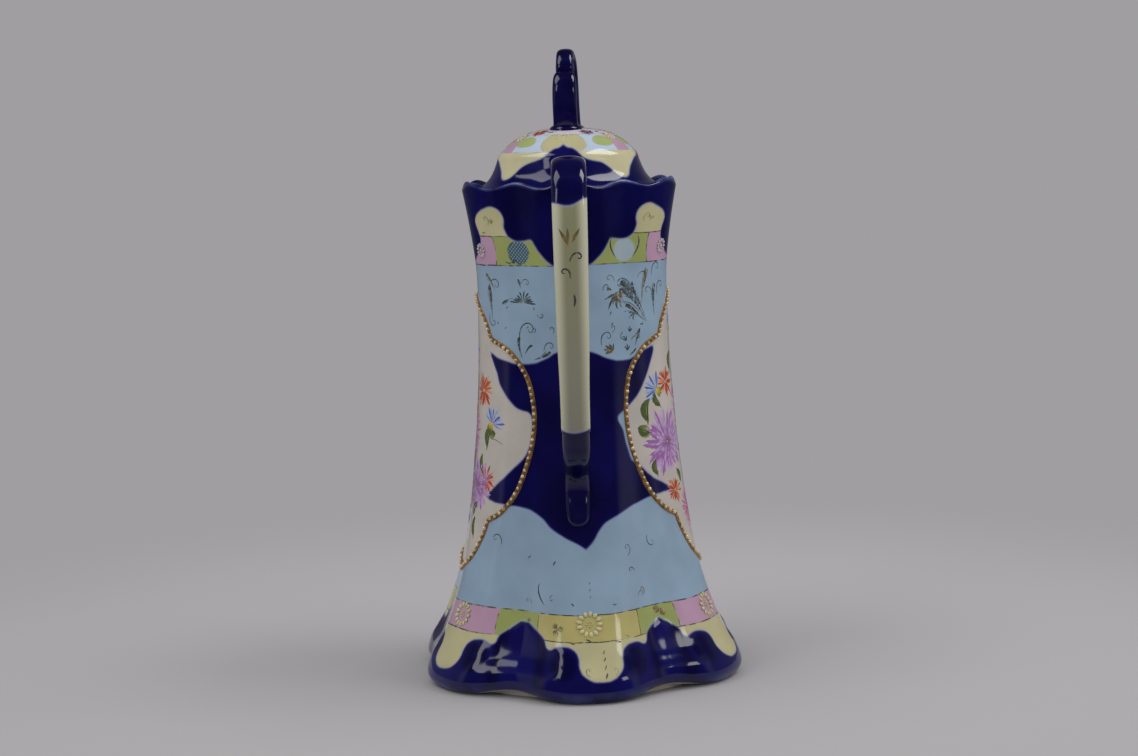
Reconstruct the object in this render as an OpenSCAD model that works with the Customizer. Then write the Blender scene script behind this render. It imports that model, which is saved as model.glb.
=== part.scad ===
// Tall porcelain chocolate pot with a lobed, flared foot, a strap handle,
// a short beak spout and a loose domed lid with an open scroll finial.
// The pot stands on Z = 0 with its axis on Z, the handle on -Y and the spout on +Y.

/* [Pot body] */
// Height of the rim above the table
pot_h = 196; // [180:0.5:215]
// Largest radius of the flared foot, over a lobe
foot_r = 67; // [60:0.5:75]
// Radius over a lobe where the flare meets the body
ankle_r = 51.4; // [48:0.2:55]
// Radius over a lobe in the lower half of the body
belly_r = 43; // [41:0.2:46]
// Radius over a lobe at the narrowest height
waist_r = 39.3; // [38.4:0.1:41]
// Radius over a lobe at the rim
rim_r = 44.6; // [43.6:0.1:47]
// Thickness of the wall
wall_t = 3.5; // [3:0.1:4]
// Thickness of the wall at the rim
lip_t = 2.8; // [2.2:0.1:3.2]
// Depth of the flutes at the foot, as a part of the radius
foot_flute = 0.1; // [0.05:0.005:0.12]
// Depth of the flutes at the waist, as a part of the radius
waist_flute = 0.04; // [0.01:0.005:0.05]
// Depth of the flutes at the rim, as a part of the radius
rim_flute = 0.06; // [0.03:0.005:0.065]
// How far the edge of the skirt rises between two lobes
foot_lift = 2.5; // [0:0.1:4]
// Height of the small waves along the rim
rim_wave = 1.1; // [0:0.1:2]
// Turn of the lobes below the waist, in degrees from the handle
body_turn = 3.2; // [-6:0.2:6]

/* [Base] */
// Height of the underside of the floor above the table
floor_z = 5; // [4:0.5:8]
// Thickness of the floor
floor_t = 4.5; // [3:0.5:6]
// Outer radius of the foot ring that the pot stands on
ring_r = 54; // [48:0.5:55]
// Width of the foot ring
ring_w = 3.5; // [2.5:0.5:5]

/* [Lid seat] */
// Height of the ledge that the lid rests on
seat_z = 193; // [191:0.5:194]
// Thickness of the ledge
seat_t = 6; // [4:0.5:8]
// Radius of the opening in the ledge
mouth_r = 29.2; // [29:0.1:30]

/* [Handle] */
// Reach of the handle from the axis of the pot
handle_reach = 82; // [76:0.5:90]
// Height of the top of the handle
handle_top = 206.8; // [203:0.2:212]
// Width of the strap at its top
strap_w = 13; // [10:0.5:15]
// Width of the strap at the elbow
elbow_w = 10.9; // [9:0.1:12]
// Thickness of the strap
strap_t = 7; // [5.5:0.5:8]
// Height of the elbow where the strap turns back to the body
elbow_z = 105.5; // [98:0.5:110]
// Height of the lower end of the tail on the body
tail_z = 66; // [62:1:70]

/* [Spout] */
// Reach of the spout from the axis of the pot
spout_reach = 66; // [60:1:72]
// Half the width of the spout where it leaves the neck
spout_half_w = 14; // [11:0.5:15]
// Height where the spout starts on the neck
spout_low = 150; // [144:1:156]
// Height of the pouring lip
spout_top = 201; // [199:0.5:204]
// Thickness of the spout's wall
spout_t = 2.6; // [2.2:0.1:3]

/* [Lid] */
// Radius of the lid's lower edge over a lobe
lid_r = 36.2; // [34.5:0.1:36.6]
// Height of the lid's dome above its lower edge
lid_rise = 24; // [20:0.5:28]
// Thickness of the lid's shell
lid_t = 3.4; // [2.8:0.1:4]
// Depth of the lid's soft flutes, as a part of the radius
lid_flute = 0.035; // [0:0.005:0.04]
// Outer radius of the collar that drops into the mouth
collar_r = 28.4; // [27.6:0.1:28.5]
// Depth of the collar below the ledge
collar_drop = 11; // [6:0.5:14]
// Clearance between the lid and the ledge
lid_gap = 0.3; // [0.3:0.05:0.8]
// Turn of the loose lid as it was set down, in degrees
lid_turn = -4; // [-30:1:30]

/* [Finial] */
// Height of the finial above the top of the dome
finial_h = 30.8; // [26:0.2:36]
// Length of the finial from front to back
finial_len = 27; // [24:0.5:32]
// Width of the finial's strap at its foot
finial_w = 9.8; // [9:0.1:12]
// Thickness of the finial's strap
finial_t = 6; // [5:0.1:6.5]

/* [Raised enamel] */
// Width of the raised border round a side panel
border_w = 2.2; // [1.5:0.1:3]
// Height of the border above the wall
border_rise = 0.8; // [0.5:0.1:1.2]
// Radius of a rosette on the foot
foot_rosette_r = 4.8; // [3.5:0.1:5.5]
// Radius of a rosette on the neck
neck_rosette_r = 3.4; // [2.5:0.1:4]
// Radius of a rosette on the lid
lid_rosette_r = 2.9; // [2:0.1:3.2]
// Height of a rosette above the wall
rosette_rise = 0.7; // [0.4:0.1:1]

/* [Hidden] */
lobes = 6;
around = 72;
lid_around = 60;
sink = 1;
glaze = [0.07, 0.09, 0.38];
cream = [0.93, 0.9, 0.74];
gilt = [0.8, 0.62, 0.26];
biscuit = [0.86, 0.83, 0.77];

// Each station of the body's outline: height, radius over a lobe, depth of the flutes.
stations = [
  [0, foot_r - 2, foot_flute],
  [0.015 * pot_h, foot_r, foot_flute],
  [0.041 * pot_h, foot_r - 0.7, foot_flute],
  [0.081 * pot_h, ankle_r + 0.646 * (foot_r - ankle_r), foot_flute],
  [0.132 * pot_h, ankle_r + 0.335 * (foot_r - ankle_r), waist_flute + 0.83 * (foot_flute - waist_flute)],
  [0.204 * pot_h, ankle_r, waist_flute + 0.58 * (foot_flute - waist_flute)],
  [0.305 * pot_h, belly_r + 0.43 * (ankle_r - belly_r), waist_flute + 0.33 * (foot_flute - waist_flute)],
  [0.433 * pot_h, belly_r, waist_flute + 0.17 * (foot_flute - waist_flute)],
  [0.56 * pot_h, waist_r + 0.35 * (belly_r - waist_r), waist_flute + 0.08 * (foot_flute - waist_flute)],
  [0.712 * pot_h, waist_r, waist_flute],
  [0.84 * pot_h, waist_r + 0.06 * (rim_r - waist_r), (waist_flute + rim_flute) / 2],
  [0.916 * pot_h, waist_r + 0.47 * (rim_r - waist_r), rim_flute],
  [pot_h, rim_r, rim_flute]
];
last = len(stations) - 1;

// A smooth curve through the stations.
function gap(i) = stations[i + 1][0] - stations[i][0];
function rate(i, k) = (stations[i + 1][k] - stations[i][k]) / gap(i);
function slope(i, k) =
  i == 0 ? rate(0, k) :
  i == last ? rate(last - 1, k) :
  (gap(i) * rate(i - 1, k) + gap(i - 1) * rate(i, k)) / (gap(i - 1) + gap(i));
function span(z, i = 0) = i >= last - 1 || z < stations[i + 1][0] ? i : span(z, i + 1);
function outline(z, k) =
  let (i = span(z), h = gap(i), t = (z - stations[i][0]) / h)
  (1 + 2 * t) * pow(1 - t, 2) * stations[i][k]
  + t * pow(1 - t, 2) * h * slope(i, k)
  + t * t * (3 - 2 * t) * stations[i + 1][k]
  + t * t * (t - 1) * h * slope(i + 1, k);

// How deep in a flute an angle is: 0 on a lobe and 1 in the middle of a flute.
function flute(a) = pow((1 - cos(lobes * a)) / 2, 1.6);
// The lobes are turned a little below the waist and come back into line at the rim.
function upper(z) = min(1, max(0, (z / pot_h - 0.5) / 0.45));
function turn(z) = body_turn * (1 - upper(z) * upper(z) * (3 - 2 * upper(z)));
function wall_r(a, z) = outline(z, 1) * (1 - outline(z, 2) * flute(a - turn(z)));
function lean(z) = atan((outline(z - 1, 1) - outline(z + 1, 1)) / 2);

// Heights bend with the skirt's lifted edge and with the wavy rim.
function bent(a, z) =
  z + foot_lift * flute(a - body_turn) * max(0, 1 - z / 16)
  + rim_wave * cos(2 * lobes * a) * pow(max(0, (z - 0.9 * pot_h) / (0.1 * pot_h)), 2);

// Angles are measured from the handle on -Y towards +X.
function at(r, a, z) = [r * sin(a), -r * cos(a), z];

// A smooth line through a list of points, with n steps between two of them.
function curve(a, b, c, d, t) =
  0.5 * (2 * b + (c - a) * t + (2 * a - 5 * b + 4 * c - d) * t * t + (3 * b - a - 3 * c + d) * t * t * t);
function smooth(p, n) = [
  for (i = [0 : len(p) - 2])
    for (k = [0 : n - 1])
      curve(p[max(0, i - 1)], p[i], p[i + 1], p[min(len(p) - 1, i + 2)], k / n),
  p[len(p) - 1]
];

// A solid through a stack of outlines that all have the same number of points.
module stacked(rows) {
  n = len(rows);
  m = len(rows[0]);
  sides = [
    for (i = [0 : n - 2])
      for (k = [0 : m - 1])
        let (j = (k + 1) % m)
          each [[i * m + k, (i + 1) * m + k, i * m + j], [i * m + j, (i + 1) * m + k, (i + 1) * m + j]]
  ];
  first = [for (k = [0 : m - 1]) k];
  final = [for (k = [m - 1 : -1 : 0]) (n - 1) * m + k];
  polyhedron(points = [for (r = rows) each r], faces = concat(sides, [first], [final]), convexity = 8);
}

// A solid through a closed round of outlines, where the last one joins the first.
module looped(rows) {
  n = len(rows);
  m = len(rows[0]);
  sides = [
    for (i = [0 : n - 1])
      for (k = [0 : m - 1])
        let (j = (k + 1) % m, w = (i + 1) % n)
          each [[i * m + k, w * m + k, i * m + j], [i * m + j, w * m + k, w * m + j]]
  ];
  polyhedron(points = [for (r = rows) each r], faces = sides, convexity = 8);
}

// The outline of a strap that lies across X: flat on the inside, crowned on the outside.
function strap_row(y, z, dy, dz, w, t) =
  let (l = norm([dy, dz]), ny = dz / l, nz = -dy / l)
  [
    for (s = [0 : 15])
      let (
        c = cos(s * 22.5),
        q = sin(s * 22.5),
        u = sign(c) * pow(abs(c), 0.8) * w / 2,
        v = sign(q) * pow(abs(q), q > 0 ? 0.9 : 0.6) * t / 2
      )
        [u, y + ny * v, z + nz * v]
  ];
function strap_rows(p) = [
  for (i = [0 : len(p) - 1])
    let (a = p[max(0, i - 1)], b = p[min(len(p) - 1, i + 1)])
      strap_row(p[i][0], p[i][1], b[0] - a[0], b[1] - a[1], p[i][2], p[i][3])
];

// Body wall: the fluted shell with its flared skirt, rounded edges and wavy rim.
outer_z = [1.2, 3, 5.5, 8, 11, 14, 18, 22, 27, 33, 40, 49, 60, 74, 90, 108, 126, 142, 156, 168, 178, 186, 192];
inner_z = [190, 182, 172, 158, 140, 116, 90, 66, 46, 32, 22, 14, 8];
function wall_section(a) = [
  at(wall_r(a, 0.2) - 1.2, a, bent(a, 0)),
  for (z = outer_z) at(wall_r(a, z * pot_h / 196), a, bent(a, z * pot_h / 196)),
  at(wall_r(a, pot_h) - 0.05, a, bent(a, pot_h - 1)),
  at(wall_r(a, pot_h) - 0.5, a, bent(a, pot_h - 0.3)),
  at(wall_r(a, pot_h) - 0.45 * lip_t, a, bent(a, pot_h)),
  at(wall_r(a, pot_h) - lip_t + 0.5, a, bent(a, pot_h - 0.3)),
  at(wall_r(a, pot_h) - lip_t, a, bent(a, pot_h - 1.2)),
  for (z = inner_z) at(wall_r(a, z * pot_h / 196) - wall_t, a, bent(a, z * pot_h / 196)),
  at(wall_r(a, 3) - wall_t, a, bent(a, 3)),
  at(wall_r(a, 0.2) - wall_t + 0.6, a, bent(a, 0))
];

module body_wall() {
  color(glaze)
    difference() {
      looped([for (i = [around : -1 : 1]) wall_section(i * 360 / around)]);
      spout_channel();
    }
}

// Base floor: a fluted plate a little above the table, its edge inside the wall.
module base_floor() {
  color(cream)
    translate([0, 0, floor_z])
      linear_extrude(floor_t)
        polygon([
          for (i = [0 : around - 1])
            let (a = i * 360 / around, r = wall_r(a, floor_z + floor_t) - wall_t + sink)
              [r * sin(a), -r * cos(a)]
        ]);
}

// Foot ring: the plain unglazed ring under the floor.
module foot_ring() {
  color(biscuit)
    difference() {
      cylinder(h = floor_z + sink, r = ring_r, $fn = 96);
      translate([0, 0, -1])
        cylinder(h = floor_z + sink + 2, r = ring_r - ring_w, $fn = 96);
    }
}

// Lid seat: the ledge inside the neck, its edge inside the wall.
seat_r = outline(seat_z - seat_t / 2, 1) * (1 - rim_flute) - 0.4;

module lid_seat() {
  color(cream)
    rotate_extrude($fn = 96)
      polygon([
        [mouth_r, seat_z - seat_t + 2.5],
        [seat_r - 0.6, seat_z - seat_t],
        [seat_r, seat_z - 1],
        [seat_r - 0.4, seat_z],
        [mouth_r, seat_z]
      ]);
}

// Spout: a beak that swells out of the neck below the rim and ends in a pouring lip.
function beak_y(s) = waist_r - 3 + (spout_reach - waist_r + 3) * pow(s, 1.6);
function beak_w(s) = spout_half_w * (0.35 + 0.65 * pow(s, 0.7));
function beak_row(s, inset, back) =
  let (
    z = spout_low + s * (spout_top - spout_low),
    w = beak_w(s) - inset,
    tip = beak_y(s) - 1.2 * inset,
    tilt = 0.09 * pow(s, 4)
  )
  [
    for (k = [0 : 16])
      let (t = 90 - k * 11.25, y = back + (tip - back) * pow(abs(cos(t)), 0.85))
        [w * sin(t) * (0.75 + 0.25 * abs(sin(t))), y, z + tilt * (y - waist_r)]
  ];

module spout_channel() {
  stacked(concat(
    [for (i = [2 : 15]) beak_row(i / 15, spout_t, waist_r - 8)],
    [[for (p = beak_row(1, spout_t, waist_r - 8)) [p[0], p[1], p[2] + 6]]]
  ));
}

module spout_shell() {
  color(glaze)
    difference() {
      stacked([for (i = [0 : 18]) beak_row(i / 18, 0, waist_r - 5)]);
      spout_channel();
      cylinder(h = 300, r = waist_r - 3.4, $fn = 96);
      translate([0, 0, seat_z - seat_t])
        cylinder(h = pot_h - seat_z + seat_t + 10, r1 = waist_r - 1.6, r2 = rim_r - lip_t, $fn = 96);
    }
}

// Handle strap: from the neck over the rim, then down to the elbow.
strap_path = [
  [0.5 - outline(handle_top - 28, 1), handle_top - 28, strap_w - 4, 2],
  [-outline(handle_top - 20.8, 1) - 0.8, handle_top - 20.8, strap_w - 1.5, strap_t - 1.4],
  [-rim_r - 0.3, handle_top - 13.5, strap_w - 1, strap_t],
  [-rim_r - 6.7, handle_top - 5.6, strap_w - 0.4, strap_t],
  [-waist_r - 21.5, handle_top - 3.4, strap_w, strap_t],
  [-handle_reach + 11, handle_top - 6.2, strap_w, strap_t],
  [-handle_reach + 5, handle_top - 15, strap_w, strap_t],
  [-handle_reach + 3.2, handle_top - 28, strap_w - 0.2, strap_t],
  [-handle_reach + 3.4, handle_top - 46, strap_w - 0.6, strap_t],
  [-handle_reach + 5, handle_top - 66, strap_w - 1.1, strap_t],
  [-handle_reach + 8.2, elbow_z + 18, elbow_w + 0.2, strap_t - 0.3],
  [-handle_reach + 11.6, elbow_z + 7, elbow_w, strap_t - 0.4],
  [-handle_reach + 15.4, elbow_z, elbow_w, strap_t - 0.6]
];

module handle_strap() {
  color(cream)
    stacked(strap_rows(smooth(strap_path, 3)));
}

// Handle tail: turns back from the elbow and lies down on the wall as a rounded tongue.
tail_in = outline(tail_z + 8, 1);
tail_path = [
  [-handle_reach + 15, elbow_z + 0.8, elbow_w - 0.8, strap_t - 1.6],
  [-handle_reach + 18.4, elbow_z - 4.4, elbow_w - 0.4, strap_t - 1],
  [-(handle_reach + tail_in) / 2 + 5.5, elbow_z - 10.5, elbow_w - 0.7, strap_t - 1],
  [-tail_in - 5.4, elbow_z - 17.5, elbow_w - 1.2, strap_t - 1],
  [-tail_in - 1.8, tail_z + 13.5, elbow_w - 1.4, strap_t - 1.4],
  [-tail_in - 1.1, tail_z + 7, elbow_w - 1.6, strap_t - 2],
  [-tail_in - 1.1, tail_z + 2, elbow_w - 3, strap_t - 3],
  [-tail_in - 1, tail_z, elbow_w - 7, strap_t - 4.6]
];

module handle_tail() {
  color(glaze)
    stacked(strap_rows(smooth(tail_path, 3)));
}

// Side panel borders: a raised cord on the wall round each barbed, four-lobed panel.
// Points of one half of the panel, as an angle from its middle and a height.
panel_top = [[0, 152.5], [-10, 151.5], [-20, 148.5], [-29, 142.5], [-34, 136]];
panel_side = [
  [-34, 136], [-42, 134], [-50, 130.3], [-59, 121.5], [-62.8, 109],
  [-61.8, 97], [-57.5, 86], [-52, 76.5], [-44, 69], [-36, 65.5]
];
panel_low = [[-36, 65.5], [-32.5, 58], [-25, 49.5], [-12, 43.5], [0, 41.5]];
panel_half = [
  for (p = smooth(panel_top, 2)) p,
  for (i = [1 : 2 * len(panel_side) - 2]) smooth(panel_side, 2)[i],
  for (i = [1 : 2 * len(panel_low) - 2]) smooth(panel_low, 2)[i]
];
panel = concat(panel_half, [for (i = [len(panel_half) - 2 : -1 : 1]) [-panel_half[i][0], panel_half[i][1]]]);

module border(middle) {
  n = len(panel);
  looped([
    for (i = [0 : n - 1])
      let (
        p = panel[i],
        b = panel[(i + 1) % n],
        c = panel[(i + n - 1) % n],
        mm = wall_r(middle + p[0] + turn(p[1]), p[1]) * PI / 180,
        d = [(b[0] - c[0]) * mm, b[1] - c[1]],
        e = [d[1], -d[0]] / norm(d)
      )
        [
          for (q = [[-0.5, -sink], [-0.5, 0.35], [-0.2, 1], [0.2, 1], [0.5, 0.35], [0.5, -sink]])
            let (
              z = p[1] + e[1] * q[0] * border_w,
              a = middle + p[0] + turn(p[1]) + e[0] * q[0] * border_w / mm,
              h = q[1] < 0 ? q[1] : q[1] * border_rise
            )
              at(wall_r(a, z) + h, a, z)
        ]
  ]);
}

module left_panel_border() {
  color(gilt)
    border(-90);
}

module right_panel_border() {
  color(gilt)
    border(90);
}

// Rosettes: low raised buttons, each a ring of petals round a small centre.
module rosette(r) {
  rotate_extrude($fn = 48)
    polygon([
      [0, -sink],
      [r, -sink],
      [r, 0.15],
      [r - 0.5, rosette_rise],
      [0.62 * r, rosette_rise],
      [0.5 * r, 0.3 * rosette_rise],
      [0.36 * r, 0.3 * rosette_rise],
      [0.26 * r, rosette_rise],
      [0, rosette_rise]
    ]);
}

module on_wall(a, z) {
  rotate([0, 0, a])
    translate([0, -outline(z, 1), z])
      rotate([90 - lean(z), 0, 0])
        children();
}

module foot_rosettes() {
  color(cream)
    for (a = [0 : 60 : 300])
      on_wall(a + turn(0), 0.147 * pot_h)
        rosette(foot_rosette_r);
}

module neck_rosettes() {
  color(cream)
    for (a = [-120, -60, 60, 120])
      on_wall(a, 0.87 * pot_h)
        rosette(neck_rosette_r);
}

// Lid: a shallow fluted dome that flares to its edge, a collar and an open finial.
lid_z = seat_z + lid_gap;
lid_outer = [
  [0.03, 1], [0.16, 0.993], [0.33, 0.96], [0.48, 0.895], [0.605, 0.8], [0.705, 0.675], [0.775, 0.56],
  [0.805, 0.44], [0.838, 0.32], [0.88, 0.21], [0.935, 0.12], [0.99, 0.07], [1, 0.04], [0.988, 0.008]
];
lid_inner = [
  [0.93, 0], [0.84, 0], [0.8, 0.06], [0.765, 0.2], [0.73, 0.34], [0.695, 0.46], [0.635, 0.56],
  [0.535, 0.67], [0.41, 0.76], [0.27, 0.825], [0.12, 0.85], [0.03, 0.855]
];
function lid_ring(p) = [
  for (i = [0 : lid_around - 1])
    let (a = i * 360 / lid_around, r = p[0] * lid_r * (1 - lid_flute * p[0] * flute(a)))
      at(r, a + lid_turn, lid_z + p[1] * lid_rise)
];
lid_under = [for (p = lid_inner) [p[0], p[1] * (lid_rise - lid_t + 3.4) / lid_rise]];

module lid_dome() {
  color(cream)
    stacked([
      for (i = [len(lid_under) - 1 : -1 : 0]) lid_ring(lid_under[i]),
      for (i = [len(lid_outer) - 1 : -1 : 0]) lid_ring(lid_outer[i])
    ]);
}

module lid_collar() {
  color(biscuit)
    rotate_extrude($fn = 96)
      polygon([
        [collar_r - 3, seat_z - collar_drop + 0.6],
        [collar_r - 2.4, seat_z - collar_drop],
        [collar_r - 0.8, seat_z - collar_drop],
        [collar_r, seat_z - collar_drop + 1],
        [collar_r, lid_z + 4.4],
        [collar_r - 3, lid_z + 4.4]
      ]);
}

lid_top = lid_z + lid_rise;
half_len = finial_len / 2 - finial_t / 2;

module finial_base() {
  color(glaze)
    rotate([0, 0, lid_turn])
      translate([0, 0, lid_top - 2])
        linear_extrude(3)
          union() {
            for (y = [-0.62 * half_len, 0.62 * half_len])
              translate([0, y])
                circle(r = finial_w / 2 + 1.2, $fn = 48);
            square([finial_w + 2.4, 1.24 * half_len], center = true);
          }
}

finial_path = [
  [-0.62 * half_len, -1.5, finial_w + 0.8, finial_t + 1],
  [-0.8 * half_len, 0.06 * finial_h, finial_w - 0.2, finial_t + 0.3],
  [-0.98 * half_len, 0.27 * finial_h, finial_w - 0.9, finial_t],
  [-0.96 * half_len, 0.5 * finial_h, finial_w - 1.1, finial_t],
  [-0.74 * half_len, 0.66 * finial_h, finial_w - 1.6, finial_t - 0.8],
  [-0.56 * half_len, 0.73 * finial_h, finial_w - 2.3, finial_t - 1.6],
  [-0.52 * half_len, 0.8 * finial_h, finial_w - 2.2, finial_t - 0.9],
  [-0.22 * half_len, 0.895 * finial_h, finial_w - 2.2, finial_t - 0.5],
  [0.26 * half_len, 0.907 * finial_h, finial_w - 2.2, finial_t - 0.3],
  [0.72 * half_len, 0.81 * finial_h, finial_w - 1.9, finial_t],
  [half_len, 0.59 * finial_h, finial_w - 1.4, finial_t],
  [0.99 * half_len, 0.32 * finial_h, finial_w - 1, finial_t],
  [0.8 * half_len, 0.08 * finial_h, finial_w - 0.2, finial_t + 0.3],
  [0.62 * half_len, -1.5, finial_w + 0.8, finial_t + 1]
];

module finial_loop() {
  color(glaze)
    rotate([0, 0, lid_turn])
      translate([0, 0, lid_top])
        stacked(strap_rows(smooth(finial_path, 4)));
}

module lid_rosettes() {
  color(cream)
    for (a = [0 : 60 : 300])
      rotate([0, 0, a + lid_turn])
        translate([0, -0.55 * lid_r, lid_z + 0.845 * lid_rise])
          rotate([33, 0, 0])
            rosette(lid_rosette_r);
}

body_wall();
base_floor();
foot_ring();
lid_seat();
spout_shell();
handle_strap();
handle_tail();
left_panel_border();
right_panel_border();
foot_rosettes();
neck_rosettes();
lid_dome();
lid_collar();
finial_base();
finial_loop();
lid_rosettes();
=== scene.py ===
"""A tall porcelain chocolate pot: fluted wall, cobalt and enamel painting, beaded panels, loose lid."""

import math

import bmesh
import bpy
import numpy as np
from mathutils import Matrix, Vector


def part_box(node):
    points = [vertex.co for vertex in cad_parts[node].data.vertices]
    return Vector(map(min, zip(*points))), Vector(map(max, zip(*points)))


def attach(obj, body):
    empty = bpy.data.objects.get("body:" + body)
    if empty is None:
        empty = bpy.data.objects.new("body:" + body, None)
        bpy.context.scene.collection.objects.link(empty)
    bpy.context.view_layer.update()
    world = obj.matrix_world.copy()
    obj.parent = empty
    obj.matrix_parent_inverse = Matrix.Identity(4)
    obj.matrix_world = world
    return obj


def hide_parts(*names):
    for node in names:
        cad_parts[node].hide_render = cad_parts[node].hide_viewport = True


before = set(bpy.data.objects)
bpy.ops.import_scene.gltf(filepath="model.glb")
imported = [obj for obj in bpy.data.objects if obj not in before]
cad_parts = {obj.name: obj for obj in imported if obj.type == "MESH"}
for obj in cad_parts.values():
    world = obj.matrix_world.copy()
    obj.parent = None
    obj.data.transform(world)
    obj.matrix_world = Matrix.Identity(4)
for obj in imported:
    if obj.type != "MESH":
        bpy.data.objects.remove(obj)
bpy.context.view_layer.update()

bl_info = {
    "name": "Chocolate pot",
    "version": (1, 0, 0),
    "blender": (4, 5, 0),
    "location": "3D View > Sidebar > Chocolate pot",
    "description": "Builds a painted porcelain chocolate pot round its CAD frame",
    "category": "Object",
}

# Sizes are in millimetres up to the moment a mesh is made. Angles are in degrees.
MM = 0.001
HANDLE_SIDE = 0
SPOUT_SIDE = 180
LOBES = 6

# The wall's outline, the same as the CAD body's
RIM_WAVE = 1.1
POT_H = round(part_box("body_wall")[1].z / MM - RIM_WAVE, 1)
FOOT_R, ANKLE_R, BELLY_R, WAIST_R, RIM_R = 67, 51.4, 43, 39.3, 44.6
FOOT_FLUTE, WAIST_FLUTE, RIM_FLUTE = 0.1, 0.04, 0.06
WALL_T, LIP_T = 3.5, 2.8
FOOT_LIFT = 2.5
BODY_TURN = 3.2

# The lid, where the CAD dome sits
LID_R, LID_RISE, LID_FLUTE, LID_TURN = 36.2, 24, 0.035, -4
LID_Z = round(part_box("lid_dome")[0].z / MM, 1)


def flute_share(extra):
    """Depth of the flutes between the waist's and the foot's."""
    return WAIST_FLUTE + extra * (FOOT_FLUTE - WAIST_FLUTE)


# Stations of the outline: share of the height, radius over a lobe, depth of the flutes
STATIONS = np.array([
    [0, FOOT_R - 2, FOOT_FLUTE],
    [0.015, FOOT_R, FOOT_FLUTE],
    [0.041, FOOT_R - 0.7, FOOT_FLUTE],
    [0.081, ANKLE_R + 0.646 * (FOOT_R - ANKLE_R), FOOT_FLUTE],
    [0.132, ANKLE_R + 0.335 * (FOOT_R - ANKLE_R), flute_share(0.83)],
    [0.204, ANKLE_R, flute_share(0.58)],
    [0.305, BELLY_R + 0.43 * (ANKLE_R - BELLY_R), flute_share(0.33)],
    [0.433, BELLY_R, flute_share(0.17)],
    [0.56, WAIST_R + 0.35 * (BELLY_R - WAIST_R), flute_share(0.08)],
    [0.712, WAIST_R, WAIST_FLUTE],
    [0.84, WAIST_R + 0.06 * (RIM_R - WAIST_R), (WAIST_FLUTE + RIM_FLUTE) / 2],
    [0.916, WAIST_R + 0.47 * (RIM_R - WAIST_R), RIM_FLUTE],
    [1, RIM_R, RIM_FLUTE],
])


# Shape of the wall

def outline(z, column):
    """Radius (1) or flute depth (2) at height z, on a smooth curve through the stations."""
    x, y = STATIONS[:, 0] * POT_H, STATIONS[:, column]
    gaps = np.diff(x)
    rates = np.diff(y) / gaps
    slopes = np.empty(len(x))
    slopes[0], slopes[-1] = rates[0], rates[-1]
    slopes[1:-1] = (gaps[1:] * rates[:-1] + gaps[:-1] * rates[1:]) / (gaps[:-1] + gaps[1:])
    z = np.asarray(z, float)
    i = np.clip(np.searchsorted(x, z, side="right") - 1, 0, len(x) - 2)
    t = (z - x[i]) / gaps[i]
    return (
        (1 + 2 * t) * (1 - t) ** 2 * y[i]
        + t * (1 - t) ** 2 * gaps[i] * slopes[i]
        + t * t * (3 - 2 * t) * y[i + 1]
        + t * t * (t - 1) * gaps[i] * slopes[i + 1]
    )


def flute(angle):
    """0 on a lobe and 1 in the middle of a flute."""
    return ((1 - np.cos(np.radians(LOBES * angle))) / 2) ** 1.6


def lobe_turn(z):
    """The lobes are turned a little below the waist and come back into line at the rim."""
    u = np.clip((z / POT_H - 0.5) / 0.45, 0, 1)
    return BODY_TURN * (1 - u * u * (3 - 2 * u))


def wall_r(angle, z):
    return outline(z, 1) * (1 - outline(z, 2) * flute(angle - lobe_turn(z)))


def lean(z):
    """How far the wall leans back from upright, in radians."""
    return np.arctan((outline(z - 1, 1) - outline(z + 1, 1)) / 2)


def bent(angle, z):
    """Heights bend with the skirt's lifted edge and with the wavy rim."""
    lift = FOOT_LIFT * flute(angle - BODY_TURN) * np.clip(1 - z / 16, 0, None)
    wave = RIM_WAVE * np.cos(np.radians(2 * LOBES * angle))
    return z + lift + wave * np.clip((z - 0.9 * POT_H) / (0.1 * POT_H), 0, None) ** 2


def at(r, angle, z):
    """A point from its radius, its angle from the handle towards +X, and its height."""
    a = np.radians(angle)
    return np.stack([r * np.sin(a), -r * np.cos(a), z + 0 * a], axis=-1)


def on_wall(angle, z, lift=0.0):
    """A point on the outer wall, lifted off it by some millimetres."""
    tilt = lean(z)
    return at(wall_r(angle, z) + lift * np.cos(tilt), angle, z + lift * np.sin(tilt))


def polar(points):
    """Radius, angle and height of points."""
    angle = np.degrees(np.arctan2(points[:, 0], -points[:, 1]))
    return np.hypot(points[:, 0], points[:, 1]), angle, points[:, 2]


def wrap(angle):
    """The same direction, from -180 to 180."""
    return (np.asarray(angle) + 180) % 360 - 180


def smooth(points, steps):
    """A smooth line through points, with some steps between two of them."""
    p = np.asarray(points, float)
    p = np.vstack([p[:1], p, p[-1:]])
    t = (np.arange(steps) / steps)[:, None]
    parts = []
    for a, b, c, d in zip(p, p[1:], p[2:], p[3:]):
        parts.append(0.5 * (
            2 * b + (c - a) * t + (2 * a - 5 * b + 4 * c - d) * t ** 2 + (3 * b - a - 3 * c + d) * t ** 3
        ))
    return np.vstack(parts + [p[-1:]])


def spaced(line, count, closed=False):
    """Points at even steps along a line."""
    if closed:
        line = np.vstack([line, line[:1]])
    run = np.concatenate([[0], np.cumsum(np.linalg.norm(np.diff(line, axis=0), axis=1))])
    stops = np.linspace(0, run[-1], count, endpoint=not closed)
    return np.stack([np.interp(stops, run, column) for column in line.T], axis=-1)


# Mesh tools

def deselect():
    if bpy.context.object and bpy.context.object.mode != "OBJECT":
        bpy.ops.object.mode_set(mode="OBJECT")
    bpy.ops.object.select_all(action="DESELECT")


def pick(obj):
    deselect()
    obj.select_set(True)
    bpy.context.view_layer.objects.active = obj


def named(name):
    """The active object, renamed, with its mesh."""
    obj = bpy.context.object
    obj.name = name
    obj.data.name = name
    return obj


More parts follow.
